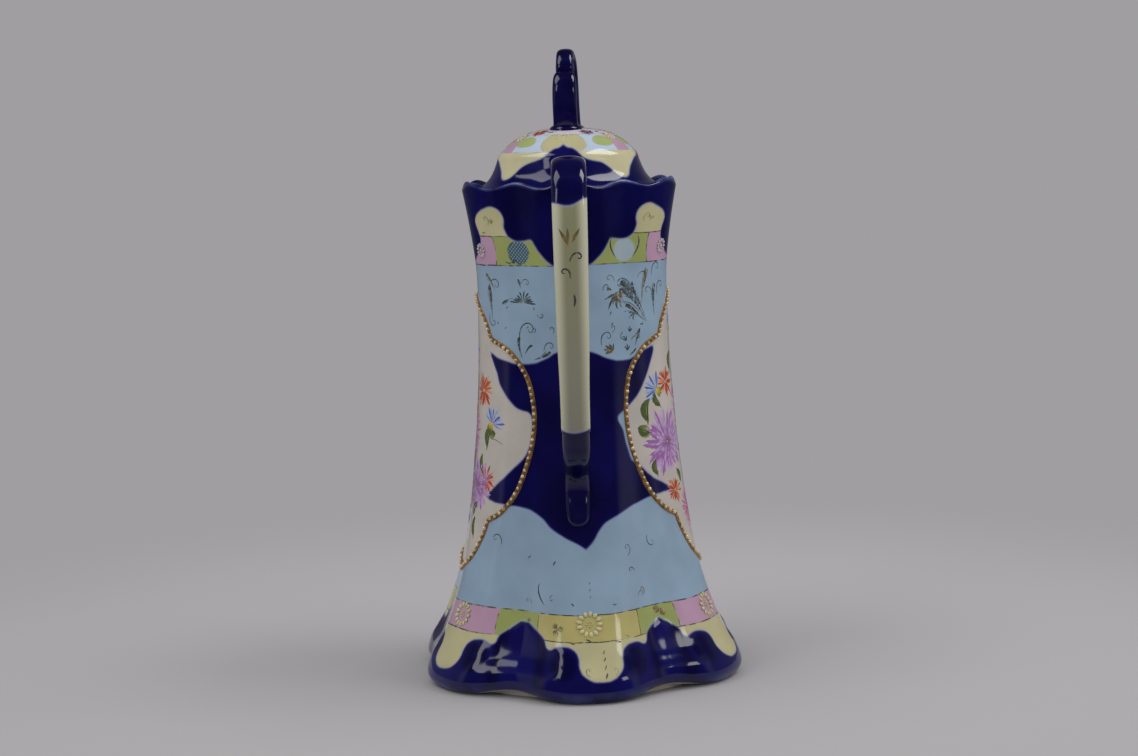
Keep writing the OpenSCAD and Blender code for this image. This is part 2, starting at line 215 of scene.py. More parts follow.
def get_points(obj):
    """The mesh's points in millimetres."""
    flat = np.empty(len(obj.data.vertices) * 3)
    obj.data.vertices.foreach_get("co", flat)
    return flat.reshape(-1, 3) / MM


def put_points(obj, points):
    obj.data.vertices.foreach_set("co", (np.asarray(points, float) * MM).ravel())
    obj.data.update()


def add_field(obj, name, values):
    """Stores one number per point, which the materials read."""
    layer = obj.data.attributes.new(name, "FLOAT", "POINT")
    layer.data.foreach_set("value", np.asarray(values, np.float32))


def tidy(obj, merge=0.0005, recalc=True):
    """Merges doubled points and turns the faces outwards."""
    pick(obj)
    bpy.ops.object.mode_set(mode="EDIT")
    bpy.ops.mesh.select_all(action="SELECT")
    bpy.ops.mesh.remove_doubles(threshold=merge * MM)
    if recalc:
        bpy.ops.mesh.normals_make_consistent(inside=False)
    bpy.ops.object.mode_set(mode="OBJECT")


def apply_modifier(obj, kind, **settings):
    pick(obj)
    modifier = obj.modifiers.new(kind.title(), kind)
    for key, value in settings.items():
        setattr(modifier, key, value)
    bpy.ops.object.modifier_apply(modifier=modifier.name)


def smooth_by_angle(obj, degrees=35):
    pick(obj)
    bpy.ops.object.shade_smooth_by_angle(angle=math.radians(degrees))


def lathe(name, profile, steps, closed=True):
    """Draws a profile of radius and height by extruding one point, and spins it round Z."""
    deselect()
    bpy.ops.mesh.primitive_plane_add(size=0.001)
    obj = named(name)
    bpy.ops.object.mode_set(mode="EDIT")
    bpy.ops.mesh.merge(type="CENTER")
    profile = np.asarray(profile, float) * MM
    bpy.ops.transform.translate(value=(profile[0][0], 0, profile[0][1]))
    for step in np.diff(np.vstack([profile, profile[:1]]) if closed else profile, axis=0):
        bpy.ops.mesh.extrude_region_move(TRANSFORM_OT_translate={"value": (step[0], 0, step[1])})
    bpy.ops.mesh.select_all(action="SELECT")
    bpy.ops.mesh.remove_doubles(threshold=0.002 * MM)
    bpy.ops.mesh.spin(steps=steps, angle=math.tau, center=(0, 0, 0), axis=(0, 0, 1))
    bpy.ops.mesh.select_all(action="SELECT")
    bpy.ops.mesh.remove_doubles(threshold=0.002 * MM)
    bpy.ops.mesh.normals_make_consistent(inside=False)
    bpy.ops.object.mode_set(mode="OBJECT")
    return obj


def loft(name, rings):
    """A cylinder with one ring of points for each outline, laid on those outlines."""
    rings = np.asarray(rings, float)
    count, around = rings.shape[:2]
    deselect()
    bpy.ops.mesh.primitive_cylinder_add(vertices=around, radius=1, depth=1)
    obj = named(name)
    bpy.ops.object.mode_set(mode="EDIT")
    bpy.ops.mesh.select_all(action="DESELECT")
    mesh = bmesh.from_edit_mesh(obj.data)
    for edge in mesh.edges:
        edge.select_set(abs(edge.verts[0].co.z - edge.verts[1].co.z) > 0.5)
    bmesh.update_edit_mesh(obj.data)
    if count > 2:
        bpy.ops.mesh.subdivide(number_cuts=count - 2)
    bpy.ops.object.mode_set(mode="OBJECT")
    points = get_points(obj) * MM
    ring = np.rint((points[:, 2] + 0.5) * (count - 1)).astype(int)
    place = np.rint(np.arctan2(points[:, 1], points[:, 0]) / math.tau * around).astype(int) % around
    put_points(obj, rings[ring, place])
    tidy(obj)
    return obj


def ring_loft(name, rings):
    """A torus with one ring of points for each outline, laid on those outlines."""
    rings = np.asarray(rings, float)
    count, around = rings.shape[:2]
    deselect()
    bpy.ops.mesh.primitive_torus_add(
        major_segments=count, minor_segments=around, major_radius=2, minor_radius=1
    )
    obj = named(name)
    points = get_points(obj) * MM
    ring = np.rint(np.arctan2(points[:, 1], points[:, 0]) / math.tau * count).astype(int) % count
    inward = np.hypot(points[:, 0], points[:, 1]) - 2
    place = np.rint(np.arctan2(points[:, 2], inward) / math.tau * around).astype(int) % around
    put_points(obj, rings[ring, place])
    tidy(obj)
    return obj


def copies(name, model, places):
    """One object made of copies of a small model, each laid by its own function of the points."""
    points = get_points(model)
    faces = [list(f.vertices) for f in model.data.polygons]
    all_points, all_faces = [], []
    for k, lay in enumerate(places):
        all_points.append(lay(points))
        all_faces += [[i + k * len(points) for i in face] for face in faces]
    mesh = bpy.data.meshes.new(name)
    mesh.from_pydata((np.vstack(all_points) * MM).tolist(), [], all_faces)
    mesh.update()
    obj = bpy.data.objects.new(name, mesh)
    bpy.context.scene.collection.objects.link(obj)
    bpy.data.objects.remove(model)
    pick(obj)
    bpy.ops.object.shade_smooth()
    return obj


def brush(steps):
    """A flat brush stroke, modelled once and copied for every stroke of its kind."""
    deselect()
    bpy.ops.mesh.primitive_grid_add(x_subdivisions=steps, y_subdivisions=2, size=2 * MM)
    return named("brush_stroke")


def stroke(patch, line, width, tints, peak=0.5, blunt=0.5, lift=0.08):
    """One stroke of paint: a line in millimetres on a patch, its width, its colours and its place.

    The stroke is widest at its peak, blunt at the ends where blunt is small, and sunk at its edges.
    """
    even = spaced(smooth(line, 8), 33)
    stops = np.linspace(0, 1, 33)
    ahead = np.gradient(even, axis=0)
    ahead /= np.linalg.norm(ahead, axis=1)[:, None]
    power = math.log(0.5) / math.log(peak)

    def lay(points):
        s, q = (points[:, 0] + 1) / 2, points[:, 1]
        half = width / 2 * np.clip(np.sin(math.pi * np.clip(s, 0.004, 0.996) ** power), 0, 1) ** blunt
        x, y = np.interp(s, stops, even[:, 0]), np.interp(s, stops, even[:, 1])
        nx, ny = np.interp(s, stops, -ahead[:, 1]), np.interp(s, stops, ahead[:, 0])
        return patch(x + q * half * nx, y + q * half * ny, lift * (1 - 1.35 * q * q))
    return lay, tints


def lay_paint(name, strokes, steps, material, body):
    """Lays a list of strokes as one piece, and gives each its colours from root to tip."""
    model = brush(steps)
    s = np.clip((get_points(model)[:, :1] + 1) / 2, 0, 1)
    colours = []
    for _, (root, tip) in strokes:
        root, tip = np.array(root), np.array(tip)
        colours.append(np.hstack([root + (tip - root) * s, 1 + 0 * s]))
    obj = copies(name, model, [lay for lay, _ in strokes])
    tint = obj.data.attributes.new("tint", "FLOAT_COLOR", "POINT")
    tint.data.foreach_set("color", np.vstack(colours).astype(np.float32).ravel())
    finish_piece(obj, material, body)
    return obj


def finish_piece(obj, material, body, replaces=()):
    """Gives a piece its material, its body and the CAD nodes that it stands for."""
    obj.data.materials.clear()
    obj.data.materials.append(material)
    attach(obj, body)
    if replaces:
        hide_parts(*replaces)


def dress_node(node, material):
    """Gives a CAD node that stays its finish."""
    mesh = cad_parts[node].data
    mesh.materials.clear()
    mesh.materials.append(material)


# Painted fields: distances in millimetres to the edges of the painted areas, above 0 inside

def depth_inside(x, y, shape):
    """Distance of points from a closed outline: above 0 inside it, below 0 outside."""
    inside = np.zeros(x.shape, bool)
    nearest = np.full(x.shape, 1e6)
    for (x0, y0), (x1, y1) in zip(shape, np.roll(shape, -1, axis=0)):
        ex, ey = x1 - x0, y1 - y0
        t = np.clip(((x - x0) * ex + (y - y0) * ey) / max(ex * ex + ey * ey, 1e-9), 0, 1)
        nearest = np.minimum(nearest, np.hypot(x - x0 - t * ex, y - y0 - t * ey))
        if y0 != y1:
            crossing = (y0 > y) != (y1 > y)
            inside ^= crossing & (x < x0 + (y - y0) * ex / (y1 - y0))
    return np.where(inside, nearest, -nearest)


def past_line(angle, z, line, scale, far):
    """Depth past a boundary that is drawn for one side of a mirror line, towards a far height."""
    edge = smooth(line, 6) * [scale, 1]
    first, last = edge[0], edge[-1]
    rest = [[last[0] + 25, last[1]], [last[0] + 25, far], [-25, far], [-25, first[1]]]
    return depth_inside(angle * scale, z, np.vstack([edge, rest]))


# Lower edge of the cobalt on the neck: angle from a deep tongue to the next one, and height
NECK_EDGE = [
    (0, 163.4), (9, 164.7), (13, 166.2), (18, 169.8), (21, 173.2), (23, 175), (28, 174.6), (33, 174.6),
    (37.5, 176.2), (39.7, 179.4), (39, 183), (41.2, 186.2), (46.5, 187.8), (52, 186.6), (58.5, 184.4),
    (61, 181.6), (59, 178), (58.5, 174.8), (61.5, 171), (67, 168), (76, 165.8), (90, 165),
]

# Halves of the cobalt field behind the handle: from its top middle round the wings to its low point
WAIST_RIGHT = [
    (0, 132.6), (8, 131.6), (13, 130.2), (17, 128.8), (23, 127.6), (30, 127.7), (35, 128.3),
    (44, 131.2), (50, 132.2), (50, 129.2), (47, 125.5), (41, 118.2), (34, 112.2), (28, 108.8),
    (21, 105.6), (24, 100.8), (27, 92.5), (28.6, 88.6), (34, 85.8), (41, 81), (46, 79), (53.6, 75.4),
    (45, 74.5), (35, 73), (26, 71), (18, 68.5), (9, 65), (4, 59.6), (0, 56.2),
]
WAIST_LEFT = [
    (0, 132.6), (11, 131.8), (16, 130.1), (20, 128.8), (26, 127.4), (32, 127), (39, 127.2), (45, 128),
    (51, 129), (57.4, 130.8), (55, 127.2), (52, 123.3), (50, 119.3), (45, 114), (38, 109.5),
    (30, 107.8), (28.6, 103), (29, 98), (31, 93.6), (34, 90.4), (43, 84.2), (48, 80.8), (56.4, 75),
    (52, 73), (44, 72), (32, 71.2), (23, 68.2), (17, 64), (7, 59.6), (0, 56.2),
]

# Upper edge of the foot's cobalt: angle from the middle of a drip of cream, and height
FOOT_EDGE = [
    (0, 8.8), (3, 9.2), (6, 11), (7.8, 13.6), (8.1, 17), (9.3, 19.4), (12, 20.8), (16, 20.8),
    (19, 19.5), (20.6, 20.4), (21.5, 22.8), (24.2, 25), (27.2, 26.8), (30, 28.6),
]
DRIP_MIDDLES = [3.5, 62, 120, 180, 240, 299.5]

# The skirt is moulded under its cobalt: a boss on each side of a drip, and a ridge between two drips
BOSS_ANGLE, BOSS_Z, BOSS_R, BOSS_RISE = 13.8, 14.6, 6.4, 0.6
RIDGE_ANGLE, RIDGE_HALF, RIDGE_RISE = 30, 5.5, 0.45
GROOVE_OFFSET, GROOVE_DEPTH = 8, 0.12

# Heights of the two enamel bands
NECK_BAND = (164.9, 176.3)
FOOT_BAND = (22.4, 32)
ROUNDEL_ANGLE, ROUNDEL_Z, ROUNDEL_R = 32, 170, 4.9
# A field's value where its paint is absent
NOWHERE = -5

# Half of a side panel, as an angle from its middle and a height, the same as the CAD border
PANEL_TOP = [(0, 152.5), (-10, 151.5), (-20, 148.5), (-29, 142.5), (-34, 136)]
PANEL_SIDE = [
    (-34, 136), (-42, 134), (-50, 130.3), (-59, 121.5), (-62.8, 109),
    (-61.8, 97), (-57.5, 86), (-52, 76.5), (-44, 69), (-36, 65.5),
]
PANEL_LOW = [(-36, 65.5), (-32.5, 58), (-25, 49.5), (-12, 43.5), (0, 41.5)]
PANEL_MIDDLES = {"left": -90, "right": 90}


def panel_line(steps):
    half = np.vstack([
        smooth(PANEL_TOP, steps)[:-1], smooth(PANEL_SIDE, steps)[:-1], smooth(PANEL_LOW, steps)
    ])
    return np.vstack([half, half[-2:0:-1] * [-1, 1]])


def across(z):
    """Millimetres round the wall for one degree at a height."""
    return outline(z, 1) * math.pi / 180


def neck_cobalt(angle, z):
    folded = 90 - np.abs(90 - np.abs(wrap(angle)))
    return past_line(folded, z, NECK_EDGE, across(175), 260)


def waist_cobalt(angle, z):
    left, right = smooth(WAIST_LEFT, 5) * [-1, 1], smooth(WAIST_RIGHT, 5)
    whole = np.vstack([right, left[-2:0:-1]]) * [across(95), 1]
    sides = [depth_inside(wrap(angle - a) * across(95), z, whole) for a in (HANDLE_SIDE, SPOUT_SIDE)]
    return np.maximum(*sides)


def from_drip(angle):
    """Angle from the nearest drip of cream on the skirt."""
    return np.min([np.abs(wrap(angle - middle)) for middle in DRIP_MIDDLES], axis=0)


def foot_cobalt(angle, z):
    return past_line(np.minimum(from_drip(angle), 34), z, FOOT_EDGE, across(16), -40)


def soft_step(x):
    x = np.clip(x, 0, 1)
    return x * x * (3 - 2 * x)


def moulded(angle, z):
    """Height of the skirt's moulding over the fluted wall, and how much glaze pools there."""
    away = from_drip(angle)
    boss = BOSS_R - np.hypot((away - BOSS_ANGLE) * across(BOSS_Z), z - BOSS_Z)
    ridge = (away - RIDGE_ANGLE) * across(BOSS_Z)
    rise = BOSS_RISE * soft_step(boss / 5.4)
    rise += RIDGE_RISE * np.exp(-(ridge / RIDGE_HALF) ** 2)
    rise -= GROOVE_DEPTH * np.exp(-((np.abs(ridge) - GROOVE_OFFSET) / 2.4) ** 2)
    inside = soft_step(foot_cobalt(angle, z) / 1.8 + 0.2) * soft_step((z - 3) / 6)
    pool = soft_step(boss / 3) + np.exp(-((np.abs(ridge) - GROOVE_OFFSET) / 2.6) ** 2)
    return rise * inside, np.where(z < 34, pool * soft_step(z / 9), 0.5)


def panel_ground(angle, z):
    shape = panel_line(6) * [across(95), 1]
    return np.maximum(*[
        depth_inside(wrap(angle - middle) * across(95), z, shape) for middle in PANEL_MIDDLES.values()
    ])


def foot_band_rise(angle):
    """The lower band climbs a little on the side lobes."""
    return 1.2 * np.sin(np.radians(1.5 * angle)) ** 2


def band_fields(angle, z):
    """The two enamel bands, and the pink, yellow and round places on them."""
    neck = np.minimum(z - NECK_BAND[0], NECK_BAND[1] - z)
    rise = foot_band_rise(angle)
    foot = np.minimum(z - FOOT_BAND[0] - rise, FOOT_BAND[1] + rise - z)
    upper = z > 100
    band = np.where(upper, neck, foot)
    half_turn = 90 - np.abs(90 - np.abs(wrap(angle)))
    third = np.abs(wrap(3 * angle)) / 3
    neck_pink = (half_turn - 47) * across(ROUNDEL_Z) - 0.02 * (z - ROUNDEL_Z) ** 2
    foot_pink = (third - 41.5) * across(27) + 0.03 * (z - 27) ** 2
    foot_yellow = (21.8 - third) * across(27)
    round_x = (half_turn - ROUNDEL_ANGLE) * across(ROUNDEL_Z)
    roundel = np.where(upper, ROUNDEL_R - np.hypot(round_x, (z - ROUNDEL_Z) * 1.08), NOWHERE)
    right = wrap(angle) > 0
    hatched = np.where(right, NOWHERE, roundel)
    return {
        "band": band,
        "pink_on_band": np.minimum(np.where(upper, neck_pink, foot_pink), band),
        "yellow_on_band": np.minimum(np.where(upper, NOWHERE, foot_yellow), band),
        "roundel": hatched,
        "roundel_on_band": np.minimum(hatched, band),
        "pale_roundel_on_band": np.minimum(np.where(right, roundel, NOWHERE), band),
        "roundel_x": round_x,
        "roundel_y": z - ROUNDEL_Z,
    }


def wall_fields(obj):
    """Marks every point of the wall with its distances to the painted edges."""
    r, angle, z = polar(get_points(obj))
    rel = wrap(angle - lobe_turn(z))
    fields = band_fields(rel, z)
    fields["cobalt"] = np.max([neck_cobalt(rel, z), waist_cobalt(rel, z), foot_cobalt(rel, z)], axis=0)
    fields["panel"] = panel_ground(rel, z)
    fields["pool"] = moulded(rel, z)[1]
    fields["cream"] = np.maximum(z - NECK_BAND[1], FOOT_BAND[0] + foot_band_rise(rel) - z)
    skin = wall_r(angle, z) - 0.45 * WALL_T
    fields["inner"] = np.minimum(skin - r, POT_H - 4 - z)
    # The lip and the hem are paler: cobalt rubbed thin, and along the lip a painted highlight as well
    lip = np.clip(1 - np.abs(z - bent(angle, POT_H + 0 * z)) / 1.5, 0, 1)
    hem = 0.7 * np.clip(1 - z / 5, 0, 1)
    fields["thin"] = np.maximum(lip, hem)
    for name, values in fields.items():
        add_field(obj, name, values)


# Materials

# A Map Range node's inputs, and a Mix node's two colours, which share their names with other inputs
LOW, HIGH, START, END = 1, 2, 3, 4
BELOW, ABOVE = 6, 7


def add(tree, kind, inputs=None, out=None, **settings):
    """Adds a node with its settings and links, and gives its first output in use, or the one asked for.

    Inputs are values, colours, or the outputs that feed them.
    """
    made = tree.nodes.new("ShaderNode" + kind)
    for key, value in settings.items():
        setattr(made, key, value)
    for key, value in (inputs or {}).items():
        if isinstance(value, bpy.types.NodeSocket):
            tree.links.new(value, made.inputs[key])
        elif made.inputs[key].type == "RGBA":
            made.inputs[key].default_value = (*value[:3], 1)
        else:
            made.inputs[key].default_value = value
    if out:
        return made.outputs[out]
    return next((output for output in made.outputs if output.enabled), None)


def grain(patch_mm):
    """Scale of a noise whose patches are so many millimetres wide."""
    return 1 / (patch_mm * MM)


def new_material(name):
    """An empty material: the material, its tree, and the place on the object in metres."""
    material = bpy.data.materials.new(name)
    material.use_nodes = True
    tree = material.node_tree
    tree.nodes.clear()
    return material, tree, add(tree, "TexCoord", out="Object")


def made_before(name):
    """A material that an earlier step made."""
    return bpy.data.materials[name]


def brush_stray(tree, place):
    """How a hand-held brush strays: about a third of a millimetre over 9 mm."""
    sway = add(tree, "TexNoise", {"Vector": place, "Scale": grain(9), "Detail": 2})
    return add(tree, "Math", {0: sway, 1: 0.5}, operation="SUBTRACT")


def painted_depth(tree, layer, stray, share=0.8):
    """Depth inside a painted area, whose edge strays as the brush did."""
    depth = add(tree, "Attribute", out="Fac", attribute_name=layer)
    return add(tree, "Math", {0: stray, 1: share, 2: depth}, operation="MULTIPLY_ADD")


def glaze_surface(tree, place, colour, roughness=0.09, bump_mm=0.02, bump_scale_mm=7):
    """Fired clear glaze over colour: a glassy skin with a very soft swell in it."""
    swell = add(tree, "TexNoise", {"Vector": place, "Scale": grain(bump_scale_mm), "Detail": 1})
    bump = add(tree, "Bump", {"Height": swell, "Strength": 0.35, "Distance": bump_mm * MM})
    glaze = {"Base Color": colour, "Normal": bump, "Roughness": roughness, "IOR": 1.5}
    add(tree, "OutputMaterial", {"Surface": add(tree, "BsdfPrincipled", glaze)})


def painted_porcelain(name, ground, layers):
    """Enamels laid one over another on porcelain; a layer is a field, a colour and a softness in mm."""
    material, tree, place = new_material(name)
    stray = brush_stray(tree, place)
    colour = ground
    for layer, enamel, softness in layers:
        mask = {"Value": painted_depth(tree, layer, stray), LOW: -softness, HIGH: softness}
        mask = add(tree, "MapRange", mask, interpolation_type="SMOOTHSTEP")
        colour = add(tree, "Mix", {0: mask, BELOW: colour, ABOVE: enamel}, data_type="RGBA")
    # Washes of enamel are thicker and thinner over about 14 mm
    wash = add(tree, "TexNoise", {"Vector": place, "Scale": grain(14), "Detail": 3})
    wash = add(tree, "MapRange", {"Value": wash, LOW: 0.3, HIGH: 0.7, START: 0.93, END: 1.07})
    colour = add(tree, "VectorMath", {0: colour, "Scale": wash}, operation="SCALE")
    return material, tree, place, stray, colour


def draw_lines(tree, place, stray, colour, lines, ink):
    """Thin pencilled lines along the edges of fields, worn away in places."""
    wear = add(tree, "TexNoise", {"Vector": place, "Scale": grain(3), "Detail": 3})
    wear = add(tree, "MapRange", {"Value": wear, LOW: 0.38, HIGH: 0.6})
    for edge, width in lines:
        away = add(tree, "Math", {0: painted_depth(tree, edge, stray)}, operation="ABSOLUTE")
        mask = add(tree, "MapRange", {"Value": away, LOW: width, HIGH: 0.4 * width})
        mask = add(tree, "Math", {0: mask, 1: wear}, operation="MULTIPLY")
        colour = add(tree, "Mix", {0: mask, BELOW: colour, ABOVE: ink}, data_type="RGBA")
    return colour


def flow_cobalt(tree, place, stray, colour, paint):
    """Cobalt under glaze: near black where it pools, blue and soft where it thins at its edge, paler on
    lips and edges where it is rubbed thin and where a painted highlight lies along the lip.
    """
    depth = painted_depth(tree, "cobalt", stray, 1.1)
    halo = add(tree, "MapRange", {"Value": depth, LOW: -1, HIGH: 0, END: 0.4})
    colour = add(tree, "Mix", {0: halo, BELOW: colour, ABOVE: paint.cobalt_halo}, data_type="RGBA")
    cloud = add(tree, "TexNoise", {"Vector": place, "Scale": grain(18), "Detail": 3})
    cloud = add(tree, "MapRange", {"Value": cloud, LOW: 0.3, HIGH: 0.7, START: -0.1, END: 0.6})
    pool = add(tree, "Attribute", out="Fac", attribute_name="pool")
    pool = add(tree, "Math", {0: pool, 1: cloud}, operation="ADD", use_clamp=True)
    deep = add(tree, "Mix", {0: pool, BELOW: paint.cobalt, ABOVE: paint.cobalt_deep}, data_type="RGBA")
    core = add(tree, "MapRange", {"Value": depth, LOW: 0, HIGH: 1.1}, interpolation_type="SMOOTHSTEP")
    blue = add(tree, "Mix", {0: core, BELOW: paint.cobalt_edge, ABOVE: deep}, data_type="RGBA")
    # Paler on lips and edges: cobalt rubbed thin in patches, and along the lip also a painted highlight
    patches = add(tree, "TexNoise", {"Vector": place, "Scale": grain(10), "Detail": 2})
    patches = add(tree, "MapRange", {"Value": patches, LOW: 0.45, HIGH: 0.75})
    thin = add(tree, "Attribute", out="Fac", attribute_name="thin")
    thin = add(tree, "Math", {0: thin, 1: patches}, operation="MULTIPLY")
    blue = add(tree, "Mix", {0: thin, BELOW: blue, ABOVE: paint.cobalt_thin_and_lip_highlight}, data_type="RGBA")
    body = add(tree, "MapRange", {"Value": depth, LOW: -0.5, HIGH: 0.5}, interpolation_type="SMOOTHSTEP")
    return add(tree, "Mix", {0: body, BELOW: colour, ABOVE: blue}, data_type="RGBA")


def hatch_roundels(tree, colour, ink):
    """Crossed pen lines on the turquoise roundels, a millimetre apart."""
    layers = ("roundel_x", "roundel_y", "roundel")
    x, y, inside = [add(tree, "Attribute", out="Fac", attribute_name=layer) for layer in layers]
    inside = add(tree, "MapRange", {"Value": inside, LOW: 0.1, HIGH: 0.3})
    for sign in (1, -1):
        slant = add(tree, "Math", {0: x, 1: sign, 2: y}, operation="MULTIPLY_ADD")
        wave = add(tree, "Math", {0: slant, 1: 0.75}, operation="PINGPONG")
        line = add(tree, "MapRange", {"Value": wave, LOW: 0.28, HIGH: 0.16})
        line = add(tree, "Math", {0: line, 1: inside}, operation="MULTIPLY")
        colour = add(tree, "Mix", {0: line, BELOW: colour, ABOVE: ink}, data_type="RGBA")
    return colour


def bare_inside(tree, colour, paint):
    """The inside stays white porcelain under its clear glaze."""
    inner = add(tree, "Attribute", out="Fac", attribute_name="inner")
    inner = add(tree, "MapRange", {"Value": inner, LOW: -0.3, HIGH: 0.5})
    return add(tree, "Mix", {0: inner, BELOW: colour, ABOVE: paint.porcelain}, data_type="RGBA")


def body_glaze(paint):
    """Slip-cast porcelain, painted and glazed."""
    material, tree, place, stray, colour = painted_porcelain("painted_porcelain_wall", paint.sky_blue, (
        ("panel", paint.panel_white, 0.3), ("cream", paint.cream, 0.2), ("band", paint.leaf_green, 0.15),
        ("yellow_on_band", paint.yellow, 0.15), ("pink_on_band", paint.pink, 0.15),
        ("roundel_on_band", paint.turquoise, 0.12), ("pale_roundel_on_band", paint.pale_blue, 0.5),
    ))
    colour = hatch_roundels(tree, colour, paint.pen_line)
    lines = (("band", 0.28), ("pink_on_band", 0.3), ("yellow_on_band", 0.22), ("roundel_on_band", 0.26))
    colour = draw_lines(tree, place, stray, colour, lines, paint.pen_line)
    colour = flow_cobalt(tree, place, stray, colour, paint)
    glaze_surface(tree, place, bare_inside(tree, colour, paint))
    return material


def plain_glaze(name, colour, variation=0.06, roughness=0.1):
    """One even glaze, a little deeper and paler over a centimetre."""
    material, tree, place = new_material(name)
    wash = add(tree, "TexNoise", {"Vector": place, "Scale": grain(12), "Detail": 3})
    wash = {"Value": wash, LOW: 0.3, HIGH: 0.7, START: 1 - variation, END: 1 + variation}
    wash = add(tree, "MapRange", wash)
    colour = add(tree, "VectorMath", {0: colour, "Scale": wash}, operation="SCALE")
    glaze_surface(tree, place, colour, roughness)
    return material


def biscuit_clay(paint):
    """Fired porcelain without glaze: matt, with a fine grit that catches dirt."""
    material, tree, place = new_material("biscuit_porcelain")
    dirt = add(tree, "TexNoise", {"Vector": place, "Scale": grain(6), "Detail": 3})
    dirt = add(tree, "MapRange", {"Value": dirt, LOW: 0.5, HIGH: 0.8, END: 0.5})
    colour = add(tree, "Mix", {0: dirt, BELOW: paint.biscuit, ABOVE: paint.biscuit_dirt}, data_type="RGBA")
    grit = add(tree, "TexNoise", {"Vector": place, "Scale": grain(0.8), "Detail": 4})
    bump = add(tree, "Bump", {"Height": grit, "Strength": 0.5, "Distance": 0.08 * MM})
    clay = {"Base Color": colour, "Normal": bump, "Roughness": 0.8, "IOR": 1.5}
    add(tree, "OutputMaterial", {"Surface": add(tree, "BsdfPrincipled", clay)})
    return material


def burnished_gilt(name, bright, dull, wear_mm=2.5, roughness=0.3, metal=0.5):
    """Gold fired on raised enamel: bright where it is whole, brown and dull where it is rubbed."""
    material, tree, place = new_material(name)
    rub = add(tree, "TexNoise", {"Vector": place, "Scale": grain(wear_mm), "Detail": 4})
    rub = add(tree, "MapRange", {"Value": rub, LOW: 0.42, HIGH: 0.7})
    colour = add(tree, "Mix", {0: rub, BELOW: bright, ABOVE: dull}, data_type="RGBA")
    rough = add(tree, "MapRange", {"Value": rub, START: roughness, END: roughness + 0.2})
    gilt = {"Base Color": colour, "Roughness": rough, "Metallic": metal}
    add(tree, "OutputMaterial", {"Surface": add(tree, "BsdfPrincipled", gilt)})
    return material


def brushed_enamel(name, roughness=0.16):
    """Overglaze enamel strokes: each stroke brings its own colour, thinner towards one side."""
    material, tree, place = new_material(name)
    tint = add(tree, "Attribute", out="Color", attribute_name="tint")
    wash = add(tree, "TexNoise", {"Vector": place, "Scale": grain(1.5), "Detail": 2})
    wash = add(tree, "MapRange", {"Value": wash, LOW: 0.3, HIGH: 0.7, START: 0.82, END: 1.15})
    colour = add(tree, "VectorMath", {0: tint, "Scale": wash}, operation="SCALE")
    glaze_surface(tree, place, colour, roughness, 0.01, 2)
    return material


def worn_gilding(name, ground, bare=0.56):
    """Thin gold and brown enamel, rubbed through to the glaze below in small spots."""
    material, tree, place = new_material(name)
    rub = add(tree, "TexNoise", {"Vector": place, "Scale": grain(1.3), "Detail": 3})
    rub = add(tree, "MapRange", {"Value": rub, LOW: bare - 0.05, HIGH: bare + 0.12})
    tint = add(tree, "Attribute", out="Color", attribute_name="tint")
    gilt = {
        "Base Color": add(tree, "Mix", {0: rub, BELOW: tint, ABOVE: ground}, data_type="RGBA"),
        "Metallic": add(tree, "MapRange", {"Value": rub, START: 0.55, END: 0}),
        "Roughness": add(tree, "MapRange", {"Value": rub, START: 0.38, END: 0.14}),
    }
    add(tree, "OutputMaterial", {"Surface": add(tree, "BsdfPrincipled", gilt)})
    return material


# Pieces of the pot

AROUND = 384
# The hem stands in by this much, so that its glaze stays inside the CAD's box
HEM_IN = 0.24


def body_profile():
    """Inset from the outline, and height, once round the wall's section."""
    outer = [(HEM_IN + 1.2, 0), (HEM_IN + 0.55, 0.25), (HEM_IN + 0.2, 0.7)]
    levels = [np.linspace(1.3, 33.5, 42), np.linspace(34.5, 160, 96), np.linspace(161, POT_H - 1.6, 50)]
    outer += [(HEM_IN * max(0, 1 - z / 12), z) for z in np.concatenate(levels)]
    lip = [(LIP_T / 2 * (1 - math.cos(t)), POT_H - 1.4 + 1.4 * math.sin(t))
           for t in np.linspace(0.15, math.pi - 0.15, 9)]
    depth = np.linspace(0, 1, 26)
    inner = [(LIP_T + (WALL_T - LIP_T) * min(1, 8 * s), POT_H - 2 - s * (POT_H - 10)) for s in depth]
    under = [(WALL_T, 5), (WALL_T, 2.5), (WALL_T - 0.3, 0.9), (WALL_T - 0.9, 0.1), (2, 0)]
    section = np.array(outer + lip + inner + under)
    return section[:, 0], section[:, 1]


def make_body(paint):
    inset, height = body_profile()
    radius = outline(np.maximum(height, 0.2), 1)
    wall = lathe("glazed_body", np.stack([radius - inset, height], axis=-1), AROUND)
    r, angle, z = polar(get_points(wall))
    level = np.maximum(z, 0.2)
    outside = r > outline(level, 1) - 1
    r = r - outline(level, 1) * outline(level, 2) * flute(angle - lobe_turn(level))
    r = r + np.where(outside, moulded(wrap(angle - lobe_turn(level)), z)[0], 0)
    put_points(wall, at(r, angle, bent(angle, z)))
    channel = loft("channel_tool", channel_rings())
    apply_modifier(wall, "BOOLEAN", object=channel, operation="DIFFERENCE", solver="EXACT")
    bpy.data.objects.remove(channel)
    tidy(wall, recalc=False)
    wall_fields(wall)
    smooth_by_angle(wall, 45)
    finish_piece(wall, body_glaze(paint), "pot", ["body_wall"])


# Spout

SPOUT_REACH = round(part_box("spout_shell")[1].y / MM, 1)
SPOUT_HALF_W, SPOUT_LOW, SPOUT_TOP, SPOUT_T = 14, 150, 201, 2.6
# Lower edge of the spout's cobalt
SPOUT_COBALT_Z = 158


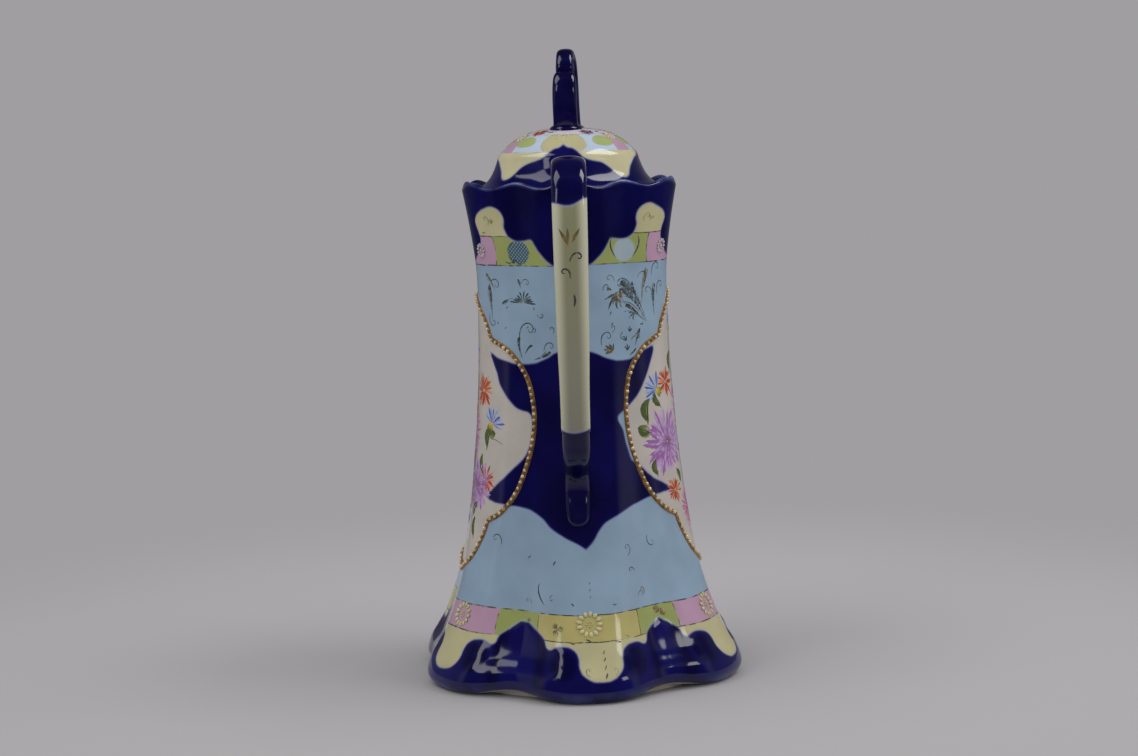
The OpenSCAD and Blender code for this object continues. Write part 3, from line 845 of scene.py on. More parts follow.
def beak_row(s, inset, back, count=17):
    """An outline of the beak at a share of its height: an arch that bulges away from the neck."""
    half = SPOUT_HALF_W * (0.35 + 0.65 * s ** 0.7) - inset
    tip = WAIST_R - 3 + (SPOUT_REACH - WAIST_R + 3) * s ** 1.6 - 1.2 * inset
    t = np.radians(np.linspace(90, -90, count))
    y = back + (tip - back) * np.abs(np.cos(t)) ** 0.85
    z = SPOUT_LOW + s * (SPOUT_TOP - SPOUT_LOW) + 0.09 * s ** 4 * (y - WAIST_R)
    return np.stack([half * np.sin(t) * (0.75 + 0.25 * np.abs(np.sin(t))), y, z], axis=-1)


def channel_rings():
    rows = [beak_row(i / 15, SPOUT_T, WAIST_R - 8) for i in range(2, 16)]
    return rows + [rows[-1] + [0, 0, 6]]


def spout_ring(s, inset, rise=0.0):
    """The beak's wall at a share of its height: its outside, then back along its inside."""
    outside = beak_row(s, inset, WAIST_R - 4 + 3 * s, 33)
    hollow = min(1, max(0.02, (s - 0.1) * 8))
    inside = beak_row(s, SPOUT_T - inset, WAIST_R - 4 + 3 * s, 33)[::-1]
    solid = inside * [1, 0, 1] + [0, WAIST_R - 4 + 3 * s, 0]
    ring = np.vstack([outside, solid + (inside - solid) * hollow])
    return ring + [0, 0, rise]


def make_spout(paint):
    rings = [spout_ring(s, 0) for s in np.linspace(0.01, 0.985, 48)]
    rings += [spout_ring(0.99, 0.12, 0.45), spout_ring(0.99, 0.5, 0.85), spout_ring(0.99, 1.1, 1.0)]
    spout = loft("spout", rings)
    _, angle, z = polar(get_points(spout))
    add_field(spout, "cobalt", (z - SPOUT_COBALT_Z) * 0.8 + 2.5 * np.cos(np.radians(14 * (angle - 180))))
    # Paler towards the beak's lip: cobalt rubbed thin, and a painted highlight as on the rim
    add_field(spout, "thin", np.clip(1 - (SPOUT_TOP + 2 - z) / 2.5, 0, 1))
    smooth_by_angle(spout, 50)
    material, tree, place = new_material("painted_porcelain_spout")
    glaze_surface(tree, place, flow_cobalt(tree, place, 0, paint.sky_blue, paint))
    finish_piece(spout, material, "pot", ["spout_shell"])


# Handle

HANDLE_REACH = 81.9
HANDLE_TOP = 206.8
ELBOW_Z, TAIL_Z = 105.5, 66
STRAP_W, ELBOW_W, STRAP_T = 13, 10.9, 7
TAIL_IN = float(outline(TAIL_Z + 8, 1))
# The cobalt runs this far down the strap from its top, and covers it this near to the pot's axis
COBALT_DROP, COBALT_REACH = 16.6, 62

# Depth, height, width and thickness along the strap and along the tail
STRAP_PATH = [
    [0.5 - float(outline(HANDLE_TOP - 28, 1)), HANDLE_TOP - 28, STRAP_W - 4, 2],
    [-float(outline(HANDLE_TOP - 20.8, 1)) - 0.8, HANDLE_TOP - 20.8, STRAP_W - 1.5, STRAP_T - 1.4],
    [-RIM_R - 0.3, HANDLE_TOP - 13.5, STRAP_W - 1, STRAP_T],
    [-RIM_R - 6.7, HANDLE_TOP - 5.6, STRAP_W - 0.4, STRAP_T],
    [-WAIST_R - 21.5, HANDLE_TOP - 3.4, STRAP_W, STRAP_T],
    [-HANDLE_REACH + 11, HANDLE_TOP - 6.2, STRAP_W, STRAP_T],
    [-HANDLE_REACH + 5, HANDLE_TOP - 15, STRAP_W, STRAP_T],
    [-HANDLE_REACH + 3.2, HANDLE_TOP - 28, STRAP_W - 0.2, STRAP_T],
    [-HANDLE_REACH + 3.4, HANDLE_TOP - 46, STRAP_W - 0.6, STRAP_T],
    [-HANDLE_REACH + 5, HANDLE_TOP - 66, STRAP_W - 1.1, STRAP_T],
    [-HANDLE_REACH + 8.2, ELBOW_Z + 18, ELBOW_W + 0.2, STRAP_T - 0.3],
    [-HANDLE_REACH + 11.6, ELBOW_Z + 7, ELBOW_W, STRAP_T - 0.4],
    [-HANDLE_REACH + 15.4, ELBOW_Z, ELBOW_W, STRAP_T - 0.6],
]
TAIL_PATH = [
    [-HANDLE_REACH + 15, ELBOW_Z + 0.8, ELBOW_W - 0.8, STRAP_T - 1.6],
    [-HANDLE_REACH + 19, ELBOW_Z - 4.9, ELBOW_W - 0.4, STRAP_T - 1],
    [-HANDLE_REACH + 23.2, ELBOW_Z - 11.2, ELBOW_W - 0.7, STRAP_T - 1],
    [-TAIL_IN - 4.6, ELBOW_Z - 18.5, ELBOW_W - 1.2, STRAP_T - 1.2],
    [-TAIL_IN - 0.9, TAIL_Z + 13.5, ELBOW_W - 1.4, STRAP_T - 2],
    [-TAIL_IN - 2.4, TAIL_Z + 7, ELBOW_W - 1.6, STRAP_T - 2],
    [-TAIL_IN - 3.8, TAIL_Z + 2, ELBOW_W - 3, STRAP_T - 2.2],
    [-TAIL_IN - 3.8, TAIL_Z, ELBOW_W - 7, STRAP_T - 3.6],
]


def strap_rings(path, steps, around=40, outer=0.62, inner=0.6):
    """Outlines of a strap that lies across X along a path of depth, height, width, thickness."""
    line = smooth(path, steps)
    ahead = np.gradient(line[:, :2], axis=0)
    ahead /= np.linalg.norm(ahead, axis=1)[:, None]
    t = np.linspace(0, math.tau, around, endpoint=False)
    c, q = np.cos(t), np.sin(t)
    u = np.sign(c) * np.abs(c) ** 0.8 / 2
    v = np.sign(q) * np.abs(q) ** np.where(q > 0, outer, inner) / 2
    rings = []
    for (y, z, w, thick), (dy, dz) in zip(line, ahead):
        rings.append(np.stack([u * w, y + dz * v * thick, z - dy * v * thick], axis=-1))
    return rings


def make_handle(paint):
    strap = loft("handle_strap_glazed", strap_rings(STRAP_PATH, 7))
    points = get_points(strap)
    arch = points[:, 2] - (HANDLE_TOP - COBALT_DROP) + 0.9 * np.cos(points[:, 0] / STRAP_W * math.tau)
    arch = np.maximum(arch - 0.12 * points[:, 0], points[:, 1] + COBALT_REACH)
    foot = ELBOW_Z - 1 - points[:, 2] + 0.05 * points[:, 0] ** 2
    add_field(strap, "cobalt", np.maximum(arch, foot))
    add_field(strap, "thin", np.zeros(len(points)))
    add_field(strap, "pool", np.full(len(points), 0.6))
    # Share of the way from the strap's middle to its edge, by which the glaze paints shade along the middle
    # and a highlight at the edges
    add_field(strap, "crown", np.abs(points[:, 0]) / (STRAP_W / 2))
    add_field(strap, "rise", (points[:, 2] - ELBOW_Z) / (HANDLE_TOP - ELBOW_Z))
    smooth_by_angle(strap, 60)
    finish_piece(strap, handle_glaze(paint), "pot", ["handle_strap"])
    tail = loft("handle_tail_glazed", strap_rings(TAIL_PATH, 8, 36, 0.85))
    smooth_by_angle(tail, 60)
    glaze = plain_glaze("cobalt_glaze_tail", paint.cobalt_deep, 0.3, 0.13)
    finish_piece(tail, glaze, "pot", ["handle_tail"])
    # Where the gilt is rubbed through it shows the strap's olive middle, with its painted shade
    gilding = worn_gilding("worn_gilding_handle", paint.ivory_olive_and_painted_shade, 0.6)
    lay_paint("handle_gilding", handle_marks(paint), 16, gilding, "pot")


def on_strap(x, z, lift):
    """A point on the strap's outer face, between its top bend and its elbow."""
    line = smooth(STRAP_PATH[6:], 8)
    level = -line[:, 1]
    depth, width, thick = [np.interp(-z, level, line[:, i]) for i in (0, 2, 3)]
    c = np.clip(2 * np.abs(x) / width, 0, 1) ** (1 / 0.8)
    bulge = np.sqrt(1 - np.minimum(c * c, 0.99)) ** 0.62 / 2
    return np.stack([x, depth - bulge * thick - lift, z + 0 * x], axis=-1)


# Gilt leaves on the strap: place across it, height, heading and length
HANDLE_LEAVES = [(-0.8, 174.6, 118, 9), (-1, 174.8, 90, 11), (0.6, 176, 60, 7), (2.8, 182, 80, 6)]


def handle_marks(paint):
    """What is left of the gilt sprig down the strap: two lines, leaves, two curls and a dark scrap."""
    brown = (paint.scroll_brown, paint.scroll_dark)
    gold = (paint.scroll_gold, paint.scroll_brown)

    def patch(x0, z0):
        return lambda x, y, lift: on_strap(x0 + x, z0 + y, lift)

    upper = [(0, 0), (4, -0.5), (10.6, 0.9)]
    elbow = [(0, 0.7), (5, -0.4), (9.8, 0.8)]
    scrap = [(0, 0), (0.5, 2), (0.1, 4.6)]
    strokes = [stroke(patch(-5.6, 189.6), upper, 0.9, gold, 0.4, 0.4, 0.06)]
    for x, z, heading, long in HANDLE_LEAVES:
        root, (across_x, up_z), tip = spoke(math.radians(heading), long, (0, 0.5, 1))
        line = [root, (across_x, up_z + 0.3), tip]
        strokes.append(stroke(patch(x, z), line, 1.8, gold, 0.55, 0.6, 0.06))
    for z, size, hand in ((168.2, 16, -1), (162.2, 14, 1)):
        line, _ = scroll_line(size, 80, 400 * hand)
        strokes.append(stroke(patch(-0.6, z), line, 0.9, brown, 0.4, 0.5, 0.06))
    strokes.append(stroke(patch(0.6, 152.6), scrap, 1.3, brown, 0.5, 0.5, 0.06))
    strokes.append(stroke(patch(-5, 105.9), elbow, 0.8, gold[::-1], 0.5, 0.4, 0.06))
    return strokes


def handle_glaze(paint):
    """Ivory glaze, olive along the middle of the strap and darkened there as painted shade, paler at its
    edges as a painted highlight, with cobalt run over its top.
    """
    material, tree, place = new_material("ivory_glaze_handle")
    # Along its middle the strap is olive at the top and greyer near the elbow, both darkened as painted
    # shade
    rise = add(tree, "Attribute", out="Fac", attribute_name="rise")
    rise = add(tree, "MapRange", {"Value": rise, LOW: 0.1, HIGH: 0.7})
    middle = {0: rise, BELOW: paint.ivory_grey_and_painted_shade, ABOVE: paint.ivory_olive_and_painted_shade}
    middle = add(tree, "Mix", middle, data_type="RGBA")
    # Towards its edges the strap turns pale ivory: a painted highlight on the rounded edges
    side = add(tree, "Attribute", out="Fac", attribute_name="crown")
    side = add(tree, "MapRange", {"Value": side, LOW: 0.25, HIGH: 0.85}, interpolation_type="SMOOTHSTEP")
    colour = add(tree, "Mix", {0: side, BELOW: middle, ABOVE: paint.ivory}, data_type="RGBA")
    glaze_surface(tree, place, flow_cobalt(tree, place, brush_stray(tree, place), colour, paint))
    return material


# Base: floor, foot ring and lid seat keep their CAD shapes

def make_base(paint):
    dress_node("base_floor", plain_glaze("clear_glaze_floor", paint.porcelain))
    dress_node("lid_seat", plain_glaze("clear_glaze_seat", paint.porcelain))
    dress_node("foot_ring", biscuit_clay(paint))


# Beaded borders of the side panels

def border_line(middle, count):
    """Even points along a panel's border: angle and height, and the way across it."""
    line = panel_line(8)
    flat = spaced(line * [across(95), 1], count, closed=True)
    ahead = np.roll(flat, -1, axis=0) - np.roll(flat, 1, axis=0)
    ahead /= np.linalg.norm(ahead, axis=1)[:, None]
    return flat / [across(95), 1] + [middle, 0], np.stack([ahead[:, 1], -ahead[:, 0]], axis=-1)


def place_on_wall(angle, z, x, y, lift):
    """A point x and y millimetres away on the wall from an angle and a height."""
    z2 = z + y * np.cos(lean(z))
    return on_wall(angle + x / across(z) + lobe_turn(z2), z2, lift)


# The gilt ribbon's section: across it, and out from the wall
RIBBON_SECTION = [
    (-1.05, -0.5), (-1.05, 0.05), (-0.85, 0.25), (-0.4, 0.34), (0.4, 0.34), (0.85, 0.25), (1.05, 0.05),
    (1.05, -0.5),
]


def make_borders(paint, sizes):
    gilt = burnished_gilt("gilt_enamel_ribbon", paint.gold, paint.gold_rubbed)
    bright = burnished_gilt("gilt_enamel_beads", paint.gold_bead, paint.gold, 4.0, 0.14, 0.5)
    for side, middle in PANEL_MIDDLES.items():
        line, normal = border_line(middle, 340)
        rings = []
        for (angle, z), (nx, ny) in zip(line, normal):
            rings.append([place_on_wall(angle, z, q * nx, q * ny, h) for q, h in RIBBON_SECTION])
        ribbon = ring_loft(side + "_border_ribbon", rings)
        smooth_by_angle(ribbon, 60)
        finish_piece(ribbon, gilt, "pot", [side + "_panel_border"])
        closed = np.vstack([line, line[:1]]) * [across(95), 1]
        length = np.linalg.norm(np.diff(closed, axis=0), axis=1).sum()
        spots, _ = border_line(middle, round(length * MM / sizes.bead_pitch))
        rng = np.random.default_rng(11)
        deselect()
        bpy.ops.mesh.primitive_uv_sphere_add(segments=8, ring_count=6, radius=sizes.bead_radius)
        bead = named("bead")
        places = []
        for angle, z in spots:
            grow = rng.uniform(0.88, 1.08)
            places.append(bead_place(angle, z, grow, rng.uniform(-0.12, 0.12)))
        beads = copies(side + "_border_beads", bead, places)
        finish_piece(beads, bright, "pot")


def wall_axes(angle, z):
    """Directions on the wall at a place: round it, up it and out of it."""
    phi = np.radians(angle + lobe_turn(z))
    tilt = lean(z)
    round_way = np.array([np.cos(phi), np.sin(phi), 0])
    out_flat = np.array([np.sin(phi), -np.cos(phi), 0])
    out = out_flat * np.cos(tilt) + np.array([0, 0, np.sin(tilt)])
    return round_way, np.cross(out, round_way), out


def bead_place(angle, z, grow, stray):
    round_way, up, out = wall_axes(angle, z)
    centre = on_wall(angle + lobe_turn(z), z, 0.6) + stray * round_way

    def lay(points):
        p = points * grow
        return centre + p[:, :1] * round_way + p[:, 1:2] * up + p[:, 2:] * out
    return lay


# Rosettes of raised enamel petals

def rosette_places(centre, axes, radius, petals, petal_size):
    """Places for a ring of petals and a small cluster of dots, from a unit dome."""
    round_way, up, out = axes
    places = []

    def dome(x, y, long, wide, high, heading):
        c, s = math.cos(heading), math.sin(heading)

        def lay(points):
            px, py = points[:, 0] * long, points[:, 1] * wide
            fx, fy = x + px * c - py * s, y + px * s + py * c
            return centre + fx[:, None] * round_way + fy[:, None] * up + (points[:, 2:] * high) * out
        return lay

    for k in range(petals):
        t = math.tau * k / petals
        x, y = radius * math.cos(t), radius * math.sin(t)
        places.append(dome(x, y, petal_size, 0.68 * petal_size, 0.5, t))
    for k in range(6):
        t = math.tau * k / 6
        places.append(dome(0.26 * radius * math.cos(t), 0.26 * radius * math.sin(t), 0.36, 0.36, 0.4, t))
    places.append(dome(0, 0, 0.45, 0.45, 0.5, 0))
    return places


def unit_dome():
    """The upper half of a small sphere, modelled once for every petal and dot."""
    deselect()
    bpy.ops.mesh.primitive_uv_sphere_add(segments=8, ring_count=6, radius=MM)
    obj = named("petal")
    points = get_points(obj)
    points[:, 2] = np.where(points[:, 2] < 0, points[:, 2] * 0.4, points[:, 2])
    put_points(obj, points)
    return obj


FOOT_ROSETTE_Z, NECK_ROSETTE_Z = 0.147 * POT_H, 0.87 * POT_H
FOOT_ROSETTE_R, NECK_ROSETTE_R = 4, 2.3


def make_rosettes(paint):
    enamel = plain_glaze("raised_enamel", paint.rosette, 0.12, 0.2)
    pink_enamel = plain_glaze("raised_enamel_pink", paint.neck_rosette, 0.12, 0.2)
    foot = []
    for k in range(LOBES):
        angle = 60 * k
        centre = on_wall(angle + lobe_turn(FOOT_ROSETTE_Z), FOOT_ROSETTE_Z, 0.05)
        foot += rosette_places(centre, wall_axes(angle, FOOT_ROSETTE_Z), FOOT_ROSETTE_R, 13, 1.2)
    rosettes = copies("foot_rosette_enamel", unit_dome(), foot)
    finish_piece(rosettes, enamel, "pot", ["foot_rosettes"])
    neck = []
    for angle in (-120, -60, 60, 120):
        centre = on_wall(angle + lobe_turn(NECK_ROSETTE_Z), NECK_ROSETTE_Z, 0.05)
        neck += rosette_places(centre, wall_axes(angle, NECK_ROSETTE_Z), NECK_ROSETTE_R, 11, 0.85)
    rosettes = copies("neck_rosette_enamel", unit_dome(), neck)
    finish_piece(rosettes, pink_enamel, "pot", ["neck_rosettes"])


# Flowers of the side panels and worn gilt scrolls

def wall_patch(angle, z):
    """A flat sheet of millimetres laid on the wall round a place."""
    return lambda x, y, lift: place_on_wall(angle, z, x, y, lift)


def spoke(heading, long, stops, bend=0):
    """Points at shares of a length along a heading in radians, which bends on the way."""
    turns = [(d * long, heading + d * bend) for d in stops]
    return [(r * math.cos(t), r * math.sin(t)) for r, t in turns]


def aster(patch, radius, count, tints, eye, rng, rings=3):
    """Rings of long narrow petals round a small eye."""
    strokes = []
    for ring in range(rings):
        share = 1 - 0.2 * ring
        for k in range(count):
            t = math.tau * (k + 0.5 * ring) / count + rng.normal(0, 0.09)
            long = radius * share * rng.uniform(0.84, 1.08)
            line = spoke(t, long, (0.1, 0.55, 1), rng.normal(0, 0.14))
            root, tip = tints[rng.integers(len(tints))]
            width = 0.19 * radius * rng.uniform(0.75, 1.15)
            lift = 0.05 + 0.025 * ring + 0.01 * (k % 3)
            strokes.append(stroke(patch, line, width, (root, tip), 0.66, 0.6, lift))
    for k in range(7):
        line = spoke(math.tau * k / 7, 0.07 * radius, (1, 2.1))
        strokes.append(stroke(patch, line, 0.09 * radius, eye, 0.5, 0.4, 0.17))
    return strokes


def fan_flower(patch, radius, count, tints, calyx, heading, rng):
    """A flower seen from its side: petals in a fan over a green cup."""
    strokes = []
    for k in range(count):
        t = heading + math.radians(150) * (k / (count - 1) - 0.5) + rng.normal(0, 0.06)
        line = spoke(t, radius * rng.uniform(0.8, 1.08), (0.08, 0.5, 1))
        lift = 0.06 + 0.012 * (k % 3)
        strokes.append(stroke(patch, line, 0.2 * radius, tints[k % len(tints)], 0.7, 0.6, lift))
    for turn in (-0.5, 0, 0.5):
        line = spoke(heading + math.pi + turn, 1, (0.1, 0.5 * radius))
        strokes.append(stroke(patch, line, 0.42 * radius, calyx, 0.4, 0.6, 0.11))
    return strokes


def leaf(patch, long, wide, heading, tints):
    """A leaf in three strokes: the blade, its shaded half and its rib."""
    c, s = math.cos(heading), math.sin(heading)

    def along(*places):
        return [(d * long * c - off * s, d * long * s + off * c) for d, off in places]

    pale, dark, rib = tints
    blade = along((0, 0), (0.5, 0.06 * long), (1, 0))
    shade = along((0.05, 0), (0.5, 0.2 * wide), (0.97, 0))
    middle = along((-0.12, 0), (0.45, 0.03 * long), (0.9, 0))
    return [
        stroke(patch, blade, wide, (pale, dark), 0.42, 0.62, 0.05),
        stroke(patch, shade, 0.45 * wide, (dark, dark), 0.45, 0.8, 0.1),
        stroke(patch, middle, 0.09 * wide, (rib, rib), 0.4, 0.3, 0.13),
    ]


# A bouquet round the middle of a panel: what, angle from the handle side, height, size, heading
RIGHT_BOUQUET = [
    ("blue_fan", 50, 114.6, 7, 150), ("orange", 60, 117, 6.4, 0), ("leaf", 41.5, 102.4, 9.6, 84),
    ("leaf", 42.5, 98.4, 6.4, 160), ("leaf", 52, 108, 7, 120), ("violet", 55.4, 93.8, 13.6, 0),
    ("leaf", 44.6, 81.5, 6.4, 95), ("orange", 57, 74.5, 5.6, 0), ("leaf", 62, 82, 6, -60),
    ("blue_fan", 75, 139, 5, 100), ("stem", 73, 118, 20, 96), ("leaf", 68, 121, 8, 80),
    ("pink", 82, 108, 12, 0), ("blue_fan", 94, 128, 6, 80), ("orange", 108, 116, 6, 0),
    ("leaf", 92, 118, 9, 60), ("violet", 103, 92, 11, 0), ("leaf", 78, 90, 9, -70),
    ("orange", 84, 80, 6, 0), ("leaf", 118, 98, 9, 20), ("blue_fan", 127, 110, 5.6, 20),
    ("leaf", 116, 80, 8, -30), ("pink", 72, 66, 8, 0), ("leaf", 86, 70, 8, -100),
    ("stem", 90, 60, 14, -84), ("leaf", 90, 54, 7, -120), ("blue_fan", 104, 68, 5, -40),
]
LEFT_BOUQUET = [
    ("orange", -65.4, 115.5, 7, 0), ("blue_fan", -56, 103, 7.2, 60), ("leaf", -59.5, 93.5, 9, 76),
    ("leaf", -58.5, 98, 4.6, 20), ("leaf", -61.5, 82.5, 8.6, 108), ("orange", -59, 80.8, 6.2, 0),
    ("violet", -67, 78, 11, 0), ("leaf", -66, 58, 8, 100), ("leaf", -70, 66, 7, 60),
    ("stem", -56, 97, 7, -14), ("pink", -84, 98, 12, 0), ("violet", -103, 86, 11, 0),
    ("orange", -100, 106, 6, 0), ("leaf", -90, 113, 9, 90), ("blue_fan", -80, 128, 6, 100),
    ("stem", -80, 114, 16, 92), ("leaf", -110, 96, 9, 160), ("blue_fan", -122, 106, 5.6, 170),
    ("leaf", -116, 76, 8, 210), ("orange", -86, 72, 5.8, 0), ("leaf", -80, 84, 8, 70),
    ("blue_fan", -100, 64, 5.4, 260), ("stem", -90, 58, 14, -96), ("leaf", -92, 52, 7, -70),
]


def bouquet_strokes(bouquet, paint, rng):
    """Turns the list of flowers into petal strokes and into stem strokes."""
    violet = [
        (paint.violet_deep, paint.violet_pale), (paint.violet, paint.violet_pale),
        (paint.violet, paint.violet),
    ]
    pink = [
        (paint.violet_deep, paint.petal_pink), (paint.petal_pink, paint.violet_pale),
        (paint.petal_pink, paint.petal_pink),
    ]
    orange = [
        (paint.orange_deep, paint.orange), (paint.orange, paint.orange_pale),
        (paint.orange_deep, paint.orange_deep),
    ]
    blue = [
        (paint.petal_blue, paint.petal_blue_pale), (paint.petal_blue, paint.petal_blue),
        (paint.petal_blue_pale, paint.petal_blue_pale),
    ]
    greens = (paint.leaf_pale, paint.leaf_dark, paint.leaf_rib)
    eye = (paint.eye_yellow, paint.leaf_rib)
    short, long = [], []
    for kind, angle, z, size, heading in bouquet:
        patch = wall_patch(angle, z)
        t = math.radians(heading)
        if kind == "violet":
            short += aster(patch, size, 40, violet, eye, rng, 4)
        elif kind == "pink":
            short += aster(patch, size, 40, pink, eye, rng, 4)
        elif kind == "orange":
            short += aster(patch, size, 19, orange, (paint.eye_yellow, paint.orange), rng, 2)
        elif kind == "blue_fan":
            short += fan_flower(patch, size, 13, blue, (paint.eye_yellow, paint.leaf_dark), t, rng)
        elif kind == "leaf":
            short += leaf(patch, size, 1.15 * size, t, greens)
        else:
            c, s = math.cos(t) * size, math.sin(t) * size
            line = [(0, 0), (0.4 * c - 0.08 * s, 0.4 * s + 0.08 * c), (c, s)]
            long.append(stroke(patch, line, 0.5, (paint.leaf_dark, paint.leaf_pale), 0.5, 0.25, 0.05))
    return short, long


def make_flowers(paint):
    enamel = brushed_enamel("brushed_enamel_flowers")
    rng = np.random.default_rng(5)
    for side, bouquet in (("left", LEFT_BOUQUET), ("right", RIGHT_BOUQUET)):
        short, long = bouquet_strokes(bouquet, paint, rng)
        lay_paint(side + "_bouquet_petals", short, 6, enamel, "pot")
        lay_paint(side + "_bouquet_stems", long, 14, enamel, "pot")


def scroll_line(size, heading, bend):
    """A line of a length that rolls in on itself, given its heading and bend in degrees."""
    t = np.linspace(0, 1, 22)
    way = np.radians(heading + bend * t ** 1.6)
    step = size / 21 * (1 - 0.8 * t)
    return np.stack([np.cumsum(step * np.cos(way)), np.cumsum(step * np.sin(way))], axis=-1), way


def curl(patch, size, heading, hand, tints):
    """A C scroll that rolls in at its end; its size is its width."""
    line, _ = scroll_line(4.4 * size, heading, 430 * hand)
    return [stroke(patch, line, 0.35 + 0.05 * size, tints, 0.35, 0.5, 0.05)]


def fan(patch, size, heading, count, opening, tints, width):
    """Tapered leaves from one root, all bending one way."""
    strokes = []
    for k in range(count):
        share = k / max(count - 1, 1) - 0.5
        reach = size * (1 - 0.8 * share * share)
        line, _ = scroll_line(1.6 * reach, heading + opening * share, 50 + 60 * share)
        strokes.append(stroke(patch, line, width, tints, 0.55, 0.6, 0.04 + 0.01 * (k % 3)))
    return strokes


def plume(patch, size, heading, bend, tints):
    """A long curved leaf: two ribs from one root and a row of short barbs between and beside them."""
    rib, way = scroll_line(1.7 * size, heading, bend)
    near, _ = scroll_line(1.5 * size, heading + 6, 1.5 * bend)
    long = [stroke(patch, rib, 0.5, tints, 0.6, 0.5, 0.05), stroke(patch, near, 0.4, tints, 0.6, 0.5, 0.05)]
    short = []
    for k in range(4, 21):
        reach = 0.17 * size * math.sin(math.pi * (k - 2) / 20)
        for side in (0.5, -0.45):
            x, y = rib[k]
            tip = (x + reach * math.cos(way[k] + side), y + reach * math.sin(way[k] + side))
            short.append(stroke(patch, [(x, y), tip], 0.45, tints, 0.5, 0.6, 0.06))
    return long, short


def shell(patch, size, heading, tints):
    """A low scalloped leaf: fine strokes that spread from one root and end in lobes."""
    strokes = []
    for k in range(11):
        share = k / 10 - 0.5
        t = math.radians(heading + 180 * share)
        reach = size * (0.8 + 0.2 * math.cos(3 * math.pi * share))
        x, y = reach * math.cos(t), 0.62 * reach * math.sin(t)
        line = [(0.1 * x, 0.1 * y), (0.6 * x, 0.7 * y), (x, y)]
        strokes.append(stroke(patch, line, 0.12 * size, tints, 0.7, 0.5, 0.05))
    return strokes


# Scrolls on the blue ground: kind, angle, height, size in mm, heading, then the hand of a curl,
# the bend of a plume or the leaves of a fan
SCROLLS = [
    ("shell", -31.5, 150.6, 7.6, 84, 0), ("plume", -32.6, 156, 3.6, 96, 40),
    ("curl", -33, 157.4, 3, 60, -1), ("plume", -37.4, 152.6, 5.6, 196, 30),
    ("gilt_plume", -50, 154.8, 8, 122, 30), ("plume", -54, 143, 13, 92, 16),
    ("curl", -57, 155, 5, 70, -1), ("curl", -56, 147, 4, 250, 1), ("dash", -43.6, 148.2, 2, 60, 1),
    ("dash", -50.2, 142, 1.8, 80, 1), ("dash", -44.8, 140.4, 1.4, 60, 1),
    ("dash", -24.4, 147.4, 2.4, 110, 1), ("curl", -23, 146.6, 2.2, 300, 1),
    ("curl", -34.6, 134.6, 6.6, 96, -1), ("dash", -30, 141, 1.2, 40, 1),
    ("plume", -33, 128.4, 8.4, 112, -50), ("plume", -32, 130.4, 5, 62, -60),
    ("curl", -26, 139, 1.6, 20, 1), ("curl", -19.4, 131.4, 3.6, 84, -1),
    ("plume", -27, 128.4, 8, 16, 26), ("curl", -13.4, 138.6, 2, 60, 1),
    ("plume", 46.6, 140.2, 20, 108, 62), ("plume", 45.8, 140.6, 17.5, 113, 66),
    ("plume", 44.8, 141.6, 10.4, 133, 30), ("fan", 38.4, 145.4, 4, 200, 3),
    ("gilt_plume", 43, 148, 13.4, 80, -14), ("plume", 39.6, 150.6, 6.4, 102, 14),
    ("curl", 36.4, 156.4, 4.4, 130, 1), ("curl", 40.4, 158.6, 3.4, 60, -1),
    ("curl", 52, 158.6, 4.6, 96, -1), ("curl", 50.6, 149.6, 4, 70, 1), ("curl", 57, 151, 4.6, 100, -1),
    ("plume", 53, 143, 12, 92, -20), ("gilt", 29.4, 154.6, 7.4, 238, 5),
    ("fan", 27, 153.6, 8.4, 222, 3), ("gilt_curl", 25.4, 157.4, 3, 100, 1),
    ("curl", 17.4, 154, 2.4, 96, -1), ("gilt", 21.4, 156, 2, 262, 2), ("dash", 20.3, 145, 2.4, 80, 1),
    ("dash", 22.8, 142.4, 2, 250, 1), ("curl", 20.4, 138.2, 2.2, 20, 1),
    ("dash", 30, 146.2, 1.8, 20, 1), ("curl", 14.4, 132.8, 4.6, 100, -1),
    ("gilt", 21, 130.8, 4.4, 140, 4), ("fan", 21.4, 131.2, 3.8, 110, 3),
    ("curl", 29.6, 138.4, 2, 200, 1), ("fan", 33.2, 138, 2.6, 70, 3), ("curl", 36.4, 137, 2, 20, -1),
    ("fan", 30.8, 134.6, 2.6, 110, 3), ("curl", 34, 134.6, 2.4, 60, -1), ("fan", 31, 130.8, 3, 80, 3),
    ("plume", 36.6, 132.4, 6.6, 66, 10), ("dash", 32, 128.8, 6, 60, 1),
    ("dash", 43, 140.4, 1.8, 120, 2), ("curl", -44, 56, 4, 90, 1), ("dash", -30, 52, 3, 60, 1),
    ("curl", 20, 52, 3.4, 40, 1), ("curl", 24, 46, 2.2, 110, 1), ("dash", -16, 50, 3, 80, 1),
    ("curl", 34, 60, 3.6, 250, 1), ("bow", -18.6, 34.6, 9, 132, -1), ("curl", -15, 39.4, 1.8, 200, 1),
    ("gilt_curl", -26, 34.6, 2.4, 90, 1), ("dash", -6, 35.2, 2.2, 150, 1),
    ("dash", 10, 35.4, 2.6, 20, 1), ("gilt_curl", 23.6, 36, 2.6, 80, -1), ("curl", 27, 37, 2.2, 60, 1),
    ("dash", 0.6, 38, 1.4, 90, 1), ("dash", 0.6, 40.6, 1.4, 90, 1), ("dash", 0.6, 43.2, 1.4, 90, 1),
    ("bow", 37, 166.4, 8.4, 52, 1), ("bow", 27.2, 166.6, 8, 128, -1), ("dash", -30, 164.9, 7, 176, 1),
    ("dash", -33, 165.3, 5, 184, 1), ("dash", -37, 165.2, 4, 178, 1),
]

